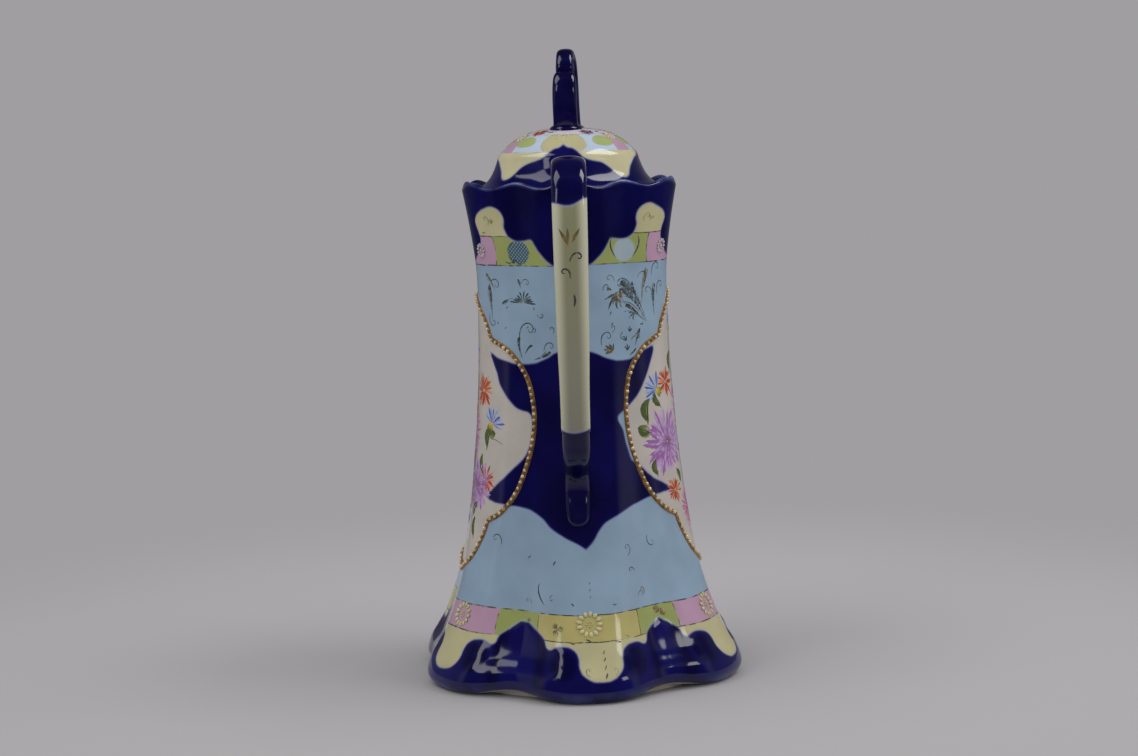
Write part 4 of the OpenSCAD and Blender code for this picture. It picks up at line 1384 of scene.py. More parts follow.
# Marks on the cream and yellow enamel, written the same way
ENAMEL_MARKS = [
    ("fan", -13, 27, 2.8, 0, 4), ("fan", -13, 27, 2.8, 120, 4), ("fan", -13, 27, 2.8, 240, 4),
    ("gilt", 31.6, 29.4, 3.4, 60, 5), ("gilt", 33.6, 29, 3.4, 20, 4), ("fan", -26.6, 28.4, 2, 80, 3),
    ("curl", -0.4, 10.6, 2.4, 150, -1), ("curl", 7.6, 10.6, 2.2, 30, 1), ("dash", -8, 22.4, 3, 10, 1),
    ("dash", 1, 22.3, 4, 175, 1), ("dash", 9, 22.6, 4, 5, 1), ("dash", 16, 23, 2.4, 170, 1),
    ("dash", 4.4, 9.6, 3.4, 90, 1), ("dash", 4.4, 12.6, 3, 90, 1), ("dash", 4.4, 15.4, 2.6, 90, 1),
    ("dash", 4.4, 18, 2.4, 90, 1), ("curl", -50, 180, 2.8, 60, 1), ("fan", -47, 181, 2.6, 80, 3),
    ("curl", 44, 180, 3, 100, -1), ("dash", 48, 181, 3, 60, 2), ("dash", -52, 177.6, 3, 200, 1),
]


def scroll_strokes(scrolls, side, brown, gold):
    """Strokes of the scrolls on one side of the pot: long ones, and short ones."""
    long, short = [], []
    for kind, angle, z, size, heading, number in scrolls:
        patch = wall_patch(angle + side, z)
        tints = gold if kind.startswith("gilt") else brown
        if kind.endswith("curl"):
            long += curl(patch, size, heading, number, tints)
        elif kind.endswith("plume"):
            ribs, barbs = plume(patch, size, heading, number, tints)
            long += ribs
            short += barbs
        elif kind == "shell":
            short += shell(patch, size, heading, tints)
        elif kind == "bow":
            line, _ = scroll_line(1.9 * size, heading, 90 * number)
            long.append(stroke(patch, line, 0.9, tints, 0.5, 0.6, 0.05))
        elif kind == "gilt":
            short += fan(patch, size, heading, number, 58, tints, 1.5)
        else:
            short += fan(patch, size, heading, number, 52, tints, 0.5 + 0.08 * size)
    return long, short


def make_scrolls(paint):
    on_blue = worn_gilding("worn_gilding_scrolls", paint.sky_blue)
    on_cream = worn_gilding("worn_gilding_marks", paint.yellow)
    gold = (paint.scroll_gold, paint.scroll_brown)
    for side, name in ((HANDLE_SIDE, "front"), (SPOUT_SIDE, "back")):
        long, short = scroll_strokes(SCROLLS, side, (paint.scroll_brown, paint.scroll_dark), gold)
        lay_paint(name + "_scroll_curls", long, 26, on_blue, "pot")
        lay_paint(name + "_scroll_leaves", short, 8, on_blue, "pot")
        long, short = scroll_strokes(ENAMEL_MARKS, side, (paint.mark_brown, paint.scroll_brown), gold)
        lay_paint(name + "_enamel_marks", long + short, 16, on_cream, "pot")


# Lid

LID_OUTER = [
    [0.0, 1.0], [0.16, 0.993], [0.33, 0.96], [0.48, 0.895], [0.605, 0.8], [0.705, 0.675], [0.775, 0.56],
    [0.805, 0.44], [0.838, 0.32], [0.88, 0.21], [0.935, 0.12], [0.985, 0.072], [1, 0.045], [0.988, 0.008],
]
LID_INNER = [
    [0.97, 0], [0.84, 0], [0.8, 0.06], [0.765, 0.2], [0.73, 0.34], [0.695, 0.46], [0.635, 0.56],
    [0.535, 0.67], [0.41, 0.76], [0.27, 0.825], [0.12, 0.85], [0.0, 0.855],
]


# The dome's outside in millimetres from its top, the run along it, and how many points lie above its edge
LID_LINE = smooth(LID_OUTER, 6) * [LID_R, LID_RISE] + [0, LID_Z]
LID_RUN = np.concatenate([[0], np.cumsum(np.linalg.norm(np.diff(LID_LINE, axis=0), axis=1))])
LID_ABOVE_EDGE = 60


def lid_profile():
    """The dome's section: down its outside, and back up its inside."""
    return np.vstack([LID_LINE, smooth(LID_INNER, 4) * [LID_R, LID_RISE] + [0, LID_Z]])


def lid_shrink(share, angle):
    """What the lid's soft flutes leave of its radius."""
    return 1 - LID_FLUTE * share * flute(angle)


def lid_patch(angle, r0):
    """A flat sheet of millimetres laid on the dome round a place: its angle and its radius."""
    start = np.interp(r0, LID_LINE[:LID_ABOVE_EDGE, 0], LID_RUN[:LID_ABOVE_EDGE])

    def lay(x, y, lift):
        run = start - y
        r, z = np.interp(run, LID_RUN, LID_LINE[:, 0]), np.interp(run, LID_RUN, LID_LINE[:, 1])
        fall = np.arctan2(-np.gradient(LID_LINE[:, 1]), np.gradient(LID_LINE[:, 0]))
        tilt = np.interp(run, LID_RUN, fall)
        a = angle + np.degrees(x / r)
        r = r * lid_shrink(r / LID_R, a)
        return at(r + lift * np.sin(tilt), a + LID_TURN, z + lift * np.cos(tilt))
    return lay


# Half of the lid's cobalt edge: angle from a peak to the next peak, and height
LID_EDGE = [
    (0, 211), (3.5, 209.8), (8, 209.2), (12.5, 207.6), (16.5, 205.8), (23, 204.7), (30, 203.8),
    (36, 202), (40, 199.8), (43.5, 198.2), (47.5, 197.7), (51.5, 198.6), (54.5, 200.3), (58.5, 202.2),
    (66, 204.6), (74, 205.9), (82, 207), (90, 208),
]

# The band round the lid, and its yellow and green spots: angle from a third, height, half sizes
LID_BAND = (208.1, 214.6)
YELLOW_SPOT_Z, YELLOW_SPOT_WIDE, YELLOW_SPOT_HIGH = 211.3, 22, 4.4
GREEN_SPOT_ANGLE, GREEN_SPOT_Z, GREEN_SPOT_WIDE, GREEN_SPOT_HIGH = 42, 211.9, 12, 1.9
# How thick a skin of the dome takes the outside's paint
PAINTED_SKIN = 2.2


def lid_fields(obj):
    """Marks every point of the lid with its distances to the painted edges."""
    r, angle, z = polar(get_points(obj))
    rel = wrap(angle - LID_TURN)
    half = 90 - np.abs(90 - np.abs(rel))
    third = np.abs(wrap(3 * rel)) / 3
    band = np.minimum(LID_BAND[1] - z, z - LID_BAND[0]) * 1.2
    pink = (third - 51) * r * math.pi / 180
    yellow = 1 - np.hypot(third / YELLOW_SPOT_WIDE, (z - YELLOW_SPOT_Z) / YELLOW_SPOT_HIGH)
    green = 1 - np.hypot((third - GREEN_SPOT_ANGLE) / GREEN_SPOT_WIDE, (z - GREEN_SPOT_Z) / GREEN_SPOT_HIGH)
    gap = np.hypot(r[:, None] - LID_LINE[None, :, 0], z[:, None] - LID_LINE[None, :, 1]).min(axis=1)
    fields = {
        "cobalt": past_line(half, z, LID_EDGE, 28 * math.pi / 180, 150),
        "cream": LID_BAND[0] - z,
        "band": band,
        "yellow_on_band": np.minimum(8 * yellow, band),
        "pink_on_band": np.minimum(pink, band),
        "spot_on_band": np.minimum(3.4 * green, band),
        "thin": np.clip(1 - (z - LID_Z) / 1.8, 0, 1),
        "pool": np.full(len(z), 0.3),
        "inner": np.where(z < LID_Z + 0.12, 1.0, gap - PAINTED_SKIN),
    }
    for name, values in fields.items():
        add_field(obj, name, values)


def lid_glaze(paint):
    """The lid's porcelain, painted and glazed."""
    material, tree, place, stray, colour = painted_porcelain("painted_porcelain_lid", paint.lid_white, (
        ("cream", paint.lid_cream, 0.3), ("band", paint.pale_aqua, 0.4),
        ("yellow_on_band", paint.lid_yellow, 0.5), ("pink_on_band", paint.pink, 0.5),
        ("spot_on_band", paint.spot_green, 0.4),
    ))
    lines = (("band", 0.12), ("pink_on_band", 0.12), ("yellow_on_band", 0.16), ("spot_on_band", 0.1))
    colour = draw_lines(tree, place, stray, colour, lines, paint.lid_line)
    colour = flow_cobalt(tree, place, stray, colour, paint)
    glaze_surface(tree, place, bare_inside(tree, colour, paint))
    return material


def make_lid(paint):
    lid = lathe("glazed_lid", lid_profile(), 240)
    r, angle, z = polar(get_points(lid))
    put_points(lid, at(r * lid_shrink(r / LID_R, angle - LID_TURN), angle, z))
    lid_fields(lid)
    smooth_by_angle(lid, 50)
    finish_piece(lid, lid_glaze(paint), "lid", ["lid_dome"])
    dress_node("lid_collar", made_before("biscuit_porcelain"))
    make_lid_rosettes(paint)
    make_lid_flowers(paint)


# Rosettes on the lid's band: radius, shares of the lid's radius and rise, and lean of the dome there
LID_ROSETTE_R, LID_ROSETTE_OUT, LID_ROSETTE_UP, LID_ROSETTE_LEAN = 1.9, 0.55, 0.845, 33


def make_lid_rosettes(paint):
    enamel = plain_glaze("raised_enamel_lid", paint.lid_rosette, 0.08, 0.2)
    tilt = math.radians(LID_ROSETTE_LEAN)
    places = []
    for k in range(LOBES):
        phi = math.radians(60 * k + LID_TURN)
        out_flat = np.array([math.sin(phi), -math.cos(phi), 0])
        round_way = np.array([math.cos(phi), math.sin(phi), 0])
        out = out_flat * math.sin(tilt) + np.array([0, 0, math.cos(tilt)])
        centre = out_flat * LID_ROSETTE_OUT * LID_R - 0.1 * out
        centre += np.array([0, 0, LID_Z + LID_ROSETTE_UP * LID_RISE])
        places += rosette_places(centre, (round_way, np.cross(out, round_way), out), LID_ROSETTE_R, 9, 0.75)
    rosettes = copies("lid_rosette_enamel", unit_dome(), places)
    finish_piece(rosettes, enamel, "lid", ["lid_rosettes"])


# Flowers round the lid's top: angle, radius on the lid, size, whether red
LID_FLOWERS = [
    (-40, 15.6, 3.6, True), (33, 15.8, 3.4, False), (102, 15.6, 3.6, True), (160, 15.8, 3.4, False),
    (-100, 15.8, 3.4, False),
]


def make_lid_flowers(paint):
    rng = np.random.default_rng(9)
    red = [
        (paint.orange_deep, paint.orange), (paint.lid_red, paint.orange_deep),
        (paint.lid_red, paint.lid_red),
    ]
    violet = [
        (paint.lid_violet, paint.lid_violet), (paint.lid_violet, paint.violet_pale),
        (paint.leaf_rib, paint.lid_violet),
    ]
    greens = (paint.leaf_pale, paint.leaf_dark, paint.leaf_rib)
    strokes = []
    for angle, r, size, is_red in LID_FLOWERS:
        tints, rim = (red, paint.orange) if is_red else (violet, paint.leaf_rib)
        strokes += aster(lid_patch(angle, r), size, 20, tints, (paint.eye_yellow, rim), rng, 2)
        strokes += leaf(lid_patch(angle + 15, r), 2.4, 2, 0.3, greens)
    enamel = made_before("brushed_enamel_flowers")
    lay_paint("lid_flower_petals", strokes, 6, enamel, "lid")


# Finial

FINIAL_H, FINIAL_LEN, FINIAL_W, FINIAL_T = 30.8, 27, 9.8, 6
LID_TOP = LID_Z + LID_RISE
HALF_LEN = FINIAL_LEN / 2 - FINIAL_T / 2
# Depth, height, width and thickness round the loop, from leg to leg
FINIAL_PATH = [
    [-0.62 * HALF_LEN, -1.5, FINIAL_W + 0.8, FINIAL_T + 1],
    [-0.8 * HALF_LEN, 0.06 * FINIAL_H, FINIAL_W - 0.2, FINIAL_T + 0.3],
    [-0.98 * HALF_LEN, 0.27 * FINIAL_H, FINIAL_W - 0.3, FINIAL_T],
    [-0.96 * HALF_LEN, 0.47 * FINIAL_H, FINIAL_W - 0.4, FINIAL_T],
    [-0.78 * HALF_LEN, 0.61 * FINIAL_H, FINIAL_W - 1, FINIAL_T - 0.8],
    [-0.56 * HALF_LEN, 0.68 * FINIAL_H, FINIAL_W - 2.8, FINIAL_T - 1.8],
    [-0.52 * HALF_LEN, 0.76 * FINIAL_H, FINIAL_W - 2.9, FINIAL_T - 0.9],
    [-0.22 * HALF_LEN, 0.885 * FINIAL_H, FINIAL_W - 3, FINIAL_T - 0.5],
    [0.26 * HALF_LEN, 0.907 * FINIAL_H, FINIAL_W - 2.8, FINIAL_T - 0.3],
    [0.72 * HALF_LEN, 0.81 * FINIAL_H, FINIAL_W - 1.9, FINIAL_T],
    [HALF_LEN, 0.59 * FINIAL_H, FINIAL_W - 1.4, FINIAL_T],
    [0.99 * HALF_LEN, 0.32 * FINIAL_H, FINIAL_W - 1, FINIAL_T],
    [0.8 * HALF_LEN, 0.08 * FINIAL_H, FINIAL_W - 0.2, FINIAL_T + 0.3],
    [0.62 * HALF_LEN, -1.5, FINIAL_W + 0.8, FINIAL_T + 1],
]

# The finial's foot: height over the lid, and how far it stands out past the loop's legs
FINIAL_FOOT = [(-2, 1.9), (-0.4, 1.6), (0.1, 1.25), (0.5, 0.8), (0.9, 0.1), (1, -1)]


def turned_with_lid(points):
    """Turns points about Z as the loose lid was set down."""
    c, s = math.cos(math.radians(LID_TURN)), math.sin(math.radians(LID_TURN))
    x, y = points[..., 0].copy(), points[..., 1].copy()
    points = points.copy()
    points[..., 0], points[..., 1] = x * c - y * s, x * s + y * c
    return points


def make_finial(paint):
    rings = np.array(strap_rings(FINIAL_PATH, 7, 36, 0.7, 0.6)) + [0, 0, LID_TOP]
    glaze = plain_glaze("cobalt_glaze_finial", paint.cobalt_deep, 0.5)
    loop = loft("finial_loop_glazed", turned_with_lid(rings))
    smooth_by_angle(loop, 60)
    finish_piece(loop, glaze, "lid", ["finial_loop"])
    base_rings = []
    for z, grow in FINIAL_FOOT:
        t = np.linspace(0, math.tau, 48, endpoint=False)
        r = FINIAL_W / 2 + grow
        y = r * np.sin(t) + 0.62 * HALF_LEN * np.sign(np.round(np.sin(t), 6))
        base_rings.append(np.stack([r * np.cos(t), y, 0 * t + LID_TOP + z], axis=-1))
    base = loft("finial_base_glazed", turned_with_lid(np.array(base_rings)))
    smooth_by_angle(base, 60)
    finish_piece(base, glaze, "lid", ["finial_base"])


# Stage, camera and light

def make_world(paint, stage):
    """Even soft light on the object, and a plain room to see behind it and in its gloss."""
    world = bpy.data.worlds.new("studio")
    bpy.context.scene.world = world
    world.use_nodes = True
    tree = world.node_tree
    tree.nodes.clear()
    way = add(tree, "TexCoord", out="Generated")
    back, high = [add(tree, "SeparateXYZ", {0: way}, out=axis) for axis in "YZ"]
    # Seen in the gloss, the room is dark in front, overhead and below, and light a little past the sides
    walls = {"Value": back, LOW: -0.48, HIGH: -0.32, START: 0.03, END: 0.9}
    depth = add(tree, "MapRange", walls, interpolation_type="SMOOTHSTEP")
    for ranges, ease in (
        ({"Value": back, LOW: -0.34, HIGH: -0.14, START: 1, END: 0.4}, "SMOOTHSTEP"),
        ({"Value": high, LOW: 0.35, HIGH: 0.7, START: 1, END: 0.15}, "LINEAR"),
        ({"Value": high, LOW: -0.2, HIGH: -0.06, START: 0.12, END: 1}, "LINEAR"),
    ):
        share = add(tree, "MapRange", ranges, interpolation_type=ease)
        depth = add(tree, "Math", {0: depth, 1: share}, operation="MULTIPLY")
    level = add(tree, "MapRange", {"Value": high, START: stage.fill, END: 0.62 * stage.fill})
    room = add(tree, "Background", {"Color": paint.backdrop, "Strength": depth})
    fill = add(tree, "Background", {"Color": (1, 1, 1), "Strength": level})
    plain = add(tree, "Background", {"Color": paint.backdrop, "Strength": 1})
    rays = ("Is Glossy Ray", "Is Transmission Ray", "Is Camera Ray")
    glossy, clear, seen = [add(tree, "LightPath", out=ray) for ray in rays]
    mirrored = add(tree, "Math", {0: glossy, 1: clear}, operation="MAXIMUM")
    light = add(tree, "MixShader", {0: mirrored, 1: fill, 2: room})
    light = add(tree, "MixShader", {0: seen, 1: light, 2: plain})
    add(tree, "OutputWorld", {"Surface": light})


def make_floor(paint):
    """A round sheet of pale paper that fades into the backdrop."""
    deselect()
    bpy.ops.mesh.primitive_circle_add(vertices=96, radius=0.45, fill_type="NGON")
    floor = named("floor")
    material, tree, place = new_material("studio_paper")
    away = add(tree, "VectorMath", {0: place}, operation="LENGTH")
    fade = add(tree, "MapRange", {"Value": away, LOW: 0.16, HIGH: 0.42}, interpolation_type="SMOOTHSTEP")
    paper = add(tree, "BsdfDiffuse", {"Color": paint.paper})
    glow = add(tree, "Emission", {"Color": paint.backdrop, "Strength": 1})
    sheet = add(tree, "MixShader", {0: fade, 1: paper, 2: glow})
    # In the pot's gloss the table is dark in front, as the room is
    ahead = add(tree, "SeparateXYZ", {0: place}, out="Y")
    ahead = add(tree, "MapRange", {"Value": ahead, LOW: -0.05, HIGH: -0.17})
    glossy = add(tree, "LightPath", out="Is Glossy Ray")
    mirrored = add(tree, "Math", {0: ahead, 1: glossy}, operation="MULTIPLY")
    dark = add(tree, "Emission", {"Color": paint.backdrop, "Strength": 0.06})
    sheet = add(tree, "MixShader", {0: mirrored, 1: sheet, 2: dark})
    add(tree, "OutputMaterial", {"Surface": sheet})
    floor.data.materials.append(material)


def make_lamps(stage):
    """Softboxes that light the pot and show in its gloss, and a broad light at its right."""
    # Name, azimuth from the camera's side, elevation, width, height, power, whether its gloss shows
    for name, azimuth, elevation, wide, high, power, glossy in (
        ("softbox_left", -47, 34, 0.26, 0.46, stage.left_power, True),
        ("softbox_right", 54, 25, 0.22, 0.26, stage.right_power, True),
        ("high_left", -73, 57.5, 0.62, 0.62, stage.high_left_power, True),
        ("high_right", 86, 55.5, 0.5, 0.54, stage.high_right_power, True),
        ("side_light", 84, 18, 1.0, 1.0, stage.side_power, False),
    ):
        deselect()
        a, e = math.radians(azimuth), math.radians(elevation)
        way = Vector((math.cos(e) * math.sin(a), -math.cos(e) * math.cos(a), math.sin(e)))
        bpy.ops.object.light_add(type="AREA", location=Vector((0, 0, 0.1)) + 1.35 * way)
        lamp = bpy.context.object
        lamp.name = name
        lamp.data.shape = "RECTANGLE"
        lamp.data.size, lamp.data.size_y = wide, high
        lamp.data.energy = power
        lamp.rotation_euler = way.to_track_quat("Z", "Y").to_euler()
        lamp.visible_camera = False
        lamp.visible_glossy = glossy


def make_camera(stage):
    camera = bpy.data.cameras.new("camera")
    camera.sensor_width = 36
    camera.sensor_fit = "HORIZONTAL"
    camera.lens = stage.lens_mm
    holder = bpy.data.objects.new("camera", camera)
    bpy.context.scene.collection.objects.link(holder)
    turn = Matrix.Rotation(stage.yaw, 4, "Z") @ Matrix.Rotation(math.pi / 2 - stage.pitch, 4, "X")
    turn = turn @ Matrix.Rotation(-stage.roll, 4, "Z")
    holder.matrix_world = Matrix.Translation((0, -stage.distance, stage.height)) @ turn
    bpy.context.scene.camera = holder


def make_stage(paint, stage):
    make_floor(paint)
    make_world(paint, stage)
    make_lamps(stage)
    make_camera(stage)
    bpy.context.scene.view_settings.view_transform = "Standard"


# Settings that a user would change

def linear(code):
    """A colour written as sRGB hex, as the linear values that Blender works in."""
    parts = [int(code[i:i + 2], 16) / 255 for i in (0, 2, 4)]
    return [p / 12.92 if p <= 0.04045 else ((p + 0.055) / 1.055) ** 2.4 for p in parts]


def tone(label, text, code):
    return bpy.props.FloatVectorProperty(
        name=label, description=text, subtype="COLOR", size=3, min=0, max=1, default=linear(code)
    )


class ChocolatePotPaint(bpy.types.PropertyGroup):
    sky_blue: tone("Sky blue", "Enamel of the main ground", "7e93a6")
    cobalt: tone("Cobalt", "Underglaze cobalt", "100e50")
    cobalt_deep: tone("Deep cobalt", "Cobalt where it is thickest", "090732")
    cobalt_edge: tone("Cobalt edge", "Cobalt where it thins at its edge", "1a1c5a")
    cobalt_halo: tone("Cobalt halo", "Blue stain beside the cobalt", "8690b4")
    # Paler cobalt of lips and edges, rubbed thin and lightened along the lip as a painted highlight
    cobalt_thin_and_lip_highlight: tone("Thin cobalt", "Cobalt rubbed thin on lips and edges", "56639c")
    panel_white: tone("Panel white", "Ground of the flower panels", "a9a29c")
    porcelain: tone("Porcelain", "Clear glaze over the white body", "bdb8ae")
    cream: tone("Cream", "Cream enamel of drips and domes", "a8a27e")
    lid_cream: tone("Lid cream", "Cream enamel of the lid", "b2ac8a")
    lid_white: tone("Lid white", "Ground of the lid's top", "bcb6c0")
    lid_red: tone("Lid red", "Red flowers of the lid", "7c2418")
    lid_violet: tone("Lid violet", "Violet flowers of the lid", "5e3450")
    lid_rosette: tone("Lid rosette", "Raised enamel on the lid", "b2ac8c")
    neck_rosette: tone("Neck rosette", "Raised enamel on the neck", "aa9aa2")
    pale_blue: tone("Pale blue", "Enamel of the paler roundels", "929fa6")
    yellow: tone("Yellow", "Yellow enamel of the front panel on the foot", "a39a64")
    lid_yellow: tone("Lid yellow", "Pale yellow enamel on the lid", "a8a27c")
    pink: tone("Pink", "Pink enamel of the bands", "a4849a")
    leaf_green: tone("Leaf green", "Yellow-green enamel of the bands", "8a9158")
    spot_green: tone("Spot green", "Green enamel of the lid's spots", "939e66")
    pale_aqua: tone("Pale aqua", "Pale enamel between the lid's panels", "a6b4c4")
    turquoise: tone("Turquoise", "Enamel of the roundels", "66879a")
    # Edge colour of the handle, lightened as a painted highlight
    ivory: tone("Ivory", "Glaze of the handle near its edges", "aaa893")
    # Middle colour of the handle, olive and darkened as painted shade
    ivory_olive_and_painted_shade: tone("Shaded ivory", "Glaze of the handle along its middle", "77765c")
    # Middle colour near the elbow, greyer and darkened as painted shade
    ivory_grey_and_painted_shade: tone("Grey ivory", "Glaze of the handle near its elbow", "7f7d70")
    pen_line: tone("Pen line", "Dark outline of the enamels", "3a352a")
    lid_line: tone("Lid line", "Outline of the enamels on the lid", "857a5c")
    violet_deep: tone("Deep violet", "Petals near the eye", "602c62")
    violet: tone("Violet", "Petals of the asters", "8c5c96")
    violet_pale: tone("Pale violet", "Tips of the petals", "ad95b6")
    petal_pink: tone("Petal pink", "Petals of the pink asters", "b0708c")
    orange_deep: tone("Deep orange", "Petals of the daisies", "8e2c16")
    orange: tone("Orange", "Petals of the daisies", "b0532c")
    orange_pale: tone("Pale orange", "Tips of the daisies", "c08c6e")
    petal_blue: tone("Petal blue", "Petals of the cornflowers", "43589a")
    petal_blue_pale: tone("Pale petal blue", "Tips of the cornflowers", "8f9fc0")
    eye_yellow: tone("Eye yellow", "Eyes of the flowers", "bfa53c")
    leaf_pale: tone("Pale leaf", "Leaves", "818a52")
    leaf_dark: tone("Dark leaf", "Shaded half of the leaves", "46532e")
    leaf_rib: tone("Leaf rib", "Ribs of the leaves", "35311c")
    scroll_brown: tone("Scroll brown", "Worn scrolls", "5c6258")
    scroll_dark: tone("Scroll dark", "Tips of the scrolls", "3c3f36")
    scroll_gold: tone("Scroll gold", "Gilt leaves of the scrolls", "94773c")
    mark_brown: tone("Mark brown", "Worn marks on cream and yellow", "81734a")
    rosette: tone("Rosette", "Raised enamel of the rosettes", "b3ab82")
    gold: tone("Gold", "Gilding that is whole", "9c7745")
    gold_bead: tone("Bead gold", "Gilding of the beads", "f2dcb8")
    gold_rubbed: tone("Rubbed gold", "Gilding that is worn", "5e4628")
    biscuit: tone("Biscuit", "Unglazed porcelain", "b3aca0")
    biscuit_dirt: tone("Biscuit dirt", "Grime in the unglazed porcelain", "7c7365")
    paper: tone("Paper", "Studio floor", "a2a0a2")
    backdrop: tone("Backdrop", "Studio background", "a09ea1")


class ChocolatePotSizes(bpy.types.PropertyGroup):
    bead_radius: bpy.props.FloatProperty(
        name="Bead radius", description="Radius of a gilt bead", unit="LENGTH", default=0.72 * MM)
    bead_pitch: bpy.props.FloatProperty(
        name="Bead pitch", description="Distance from bead to bead", unit="LENGTH", default=2.5 * MM)


class ChocolatePotStage(bpy.types.PropertyGroup):
    distance: bpy.props.FloatProperty(
        name="Distance", description="From the pot's axis to the camera", unit="LENGTH", default=0.88)
    height: bpy.props.FloatProperty(
        name="Height", description="Camera above the table", unit="LENGTH", default=0.218)
    lens_mm: bpy.props.FloatProperty(
        name="Lens", description="Focal length on a 36 mm sensor, in millimetres", default=69.763)
    pitch: bpy.props.FloatProperty(
        name="Pitch", description="How far the camera looks down", unit="ROTATION", default=0.113935)
    roll: bpy.props.FloatProperty(
        name="Roll", description="How far the camera leans", unit="ROTATION", default=0.0288)
    yaw: bpy.props.FloatProperty(
        name="Yaw", description="How far the camera looks left", unit="ROTATION", default=0.0024419)
    fill: bpy.props.FloatProperty(
        name="Fill", description="Strength of the even light from all sides", default=1.02)
    left_power: bpy.props.FloatProperty(
        name="Left softbox", description="Power of the softbox on the left", unit="POWER", default=1.2)
    right_power: bpy.props.FloatProperty(
        name="Right softbox", description="Power of the softbox on the right", unit="POWER", default=0.9)
    high_left_power: bpy.props.FloatProperty(
        name="High left light", description="Power of the light seen in the lid's left",
        unit="POWER", default=3.4)
    high_right_power: bpy.props.FloatProperty(
        name="High right light", description="Power of the light seen in the lid's right",
        unit="POWER", default=5)
    side_power: bpy.props.FloatProperty(
        name="Side light", description="Power of the broad light on the right", unit="POWER", default=1.6)


class ChocolatePotSettings(bpy.types.PropertyGroup):
    paint: bpy.props.PointerProperty(type=ChocolatePotPaint)
    sizes: bpy.props.PointerProperty(type=ChocolatePotSizes)
    stage: bpy.props.PointerProperty(type=ChocolatePotStage)


class CHOCOLATE_POT_OT_body(bpy.types.Operator):
    """Lathe the wall, flute it, open it to the spout and paint it"""
    bl_idname = "chocolate_pot.body"
    bl_label = "Painted body"

    def execute(self, context):
        make_body(context.scene.chocolate_pot.paint)
        return {"FINISHED"}


class CHOCOLATE_POT_OT_spout(bpy.types.Operator):
    """Loft the beak spout"""
    bl_idname = "chocolate_pot.spout"
    bl_label = "Spout"

    def execute(self, context):
        make_spout(context.scene.chocolate_pot.paint)
        return {"FINISHED"}


class CHOCOLATE_POT_OT_handle(bpy.types.Operator):
    """Loft the handle's strap and its tail"""
    bl_idname = "chocolate_pot.handle"
    bl_label = "Handle"

    def execute(self, context):
        make_handle(context.scene.chocolate_pot.paint)
        return {"FINISHED"}


class CHOCOLATE_POT_OT_base(bpy.types.Operator):
    """Give the floor, the foot ring and the lid seat their finishes"""
    bl_idname = "chocolate_pot.base"
    bl_label = "Base and lid seat"

    def execute(self, context):
        make_base(context.scene.chocolate_pot.paint)
        return {"FINISHED"}


class CHOCOLATE_POT_OT_borders(bpy.types.Operator):
    """Lay the gilt ribbons and their beads round the side panels"""
    bl_idname = "chocolate_pot.borders"
    bl_label = "Beaded borders"

    def execute(self, context):
        settings = context.scene.chocolate_pot
        make_borders(settings.paint, settings.sizes)
        return {"FINISHED"}


class CHOCOLATE_POT_OT_flowers(bpy.types.Operator):
    """Brush the bouquets on the side panels"""
    bl_idname = "chocolate_pot.flowers"
    bl_label = "Flowers"

    def execute(self, context):
        make_flowers(context.scene.chocolate_pot.paint)
        return {"FINISHED"}


class CHOCOLATE_POT_OT_scrolls(bpy.types.Operator):
    """Brush the worn gilt scrolls on the blue ground"""
    bl_idname = "chocolate_pot.scrolls"
    bl_label = "Scrolls"

    def execute(self, context):
        make_scrolls(context.scene.chocolate_pot.paint)
        return {"FINISHED"}


class CHOCOLATE_POT_OT_rosettes(bpy.types.Operator):
    """Set the raised enamel rosettes on the foot and the neck"""
    bl_idname = "chocolate_pot.rosettes"
    bl_label = "Rosettes"

    def execute(self, context):
        make_rosettes(context.scene.chocolate_pot.paint)
        return {"FINISHED"}


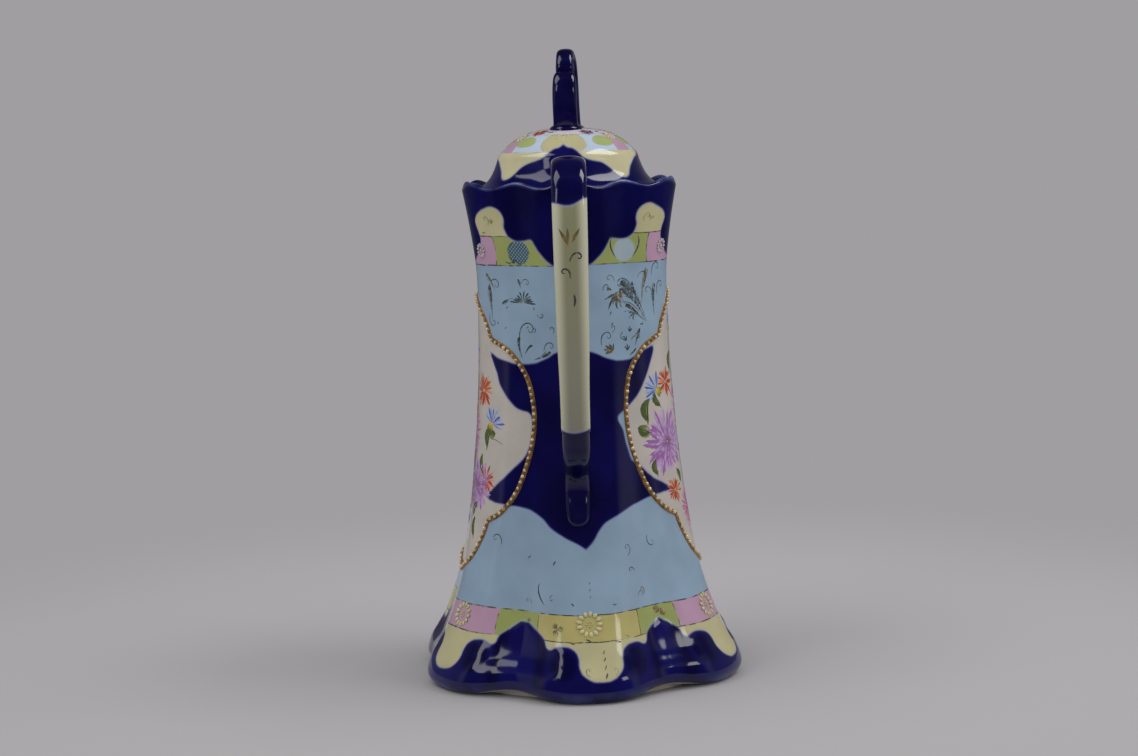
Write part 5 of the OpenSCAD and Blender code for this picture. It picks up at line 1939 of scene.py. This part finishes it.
class CHOCOLATE_POT_OT_lid(bpy.types.Operator):
    """Lathe the lid's dome, flute it, paint it and set its rosettes"""
    bl_idname = "chocolate_pot.lid"
    bl_label = "Lid"

    def execute(self, context):
        make_lid(context.scene.chocolate_pot.paint)
        return {"FINISHED"}


class CHOCOLATE_POT_OT_finial(bpy.types.Operator):
    """Loft the open scroll finial and its foot"""
    bl_idname = "chocolate_pot.finial"
    bl_label = "Finial"

    def execute(self, context):
        make_finial(context.scene.chocolate_pot.paint)
        return {"FINISHED"}


class CHOCOLATE_POT_OT_stage(bpy.types.Operator):
    """Set up the studio floor, the backdrop, the softboxes and the camera"""
    bl_idname = "chocolate_pot.stage"
    bl_label = "Stage"

    def execute(self, context):
        settings = context.scene.chocolate_pot
        make_stage(settings.paint, settings.stage)
        return {"FINISHED"}


STEPS = (
    CHOCOLATE_POT_OT_body, CHOCOLATE_POT_OT_spout, CHOCOLATE_POT_OT_handle, CHOCOLATE_POT_OT_base,
    CHOCOLATE_POT_OT_borders, CHOCOLATE_POT_OT_flowers, CHOCOLATE_POT_OT_scrolls,
    CHOCOLATE_POT_OT_rosettes, CHOCOLATE_POT_OT_lid, CHOCOLATE_POT_OT_finial, CHOCOLATE_POT_OT_stage,
)


class CHOCOLATE_POT_PT_sidebar(bpy.types.Panel):
    """Lists the steps that build the pot"""
    bl_label = "Chocolate pot"
    bl_idname = "CHOCOLATE_POT_PT_sidebar"
    bl_space_type = "VIEW_3D"
    bl_region_type = "UI"
    bl_category = "Chocolate pot"

    def draw(self, context):
        for step in STEPS:
            self.layout.operator(step.bl_idname)


CLASSES = (
    ChocolatePotPaint, ChocolatePotSizes, ChocolatePotStage, ChocolatePotSettings,
    *STEPS, CHOCOLATE_POT_PT_sidebar,
)


def register():
    for cls in CLASSES:
        bpy.utils.register_class(cls)
    bpy.types.Scene.chocolate_pot = bpy.props.PointerProperty(type=ChocolatePotSettings)


def unregister():
    del bpy.types.Scene.chocolate_pot
    for cls in reversed(CLASSES):
        bpy.utils.unregister_class(cls)


def main():
    register()
    for step in STEPS:
        group, name = step.bl_idname.split(".")
        getattr(getattr(bpy.ops, group), name)()


if __name__ == "__main__":
    main()
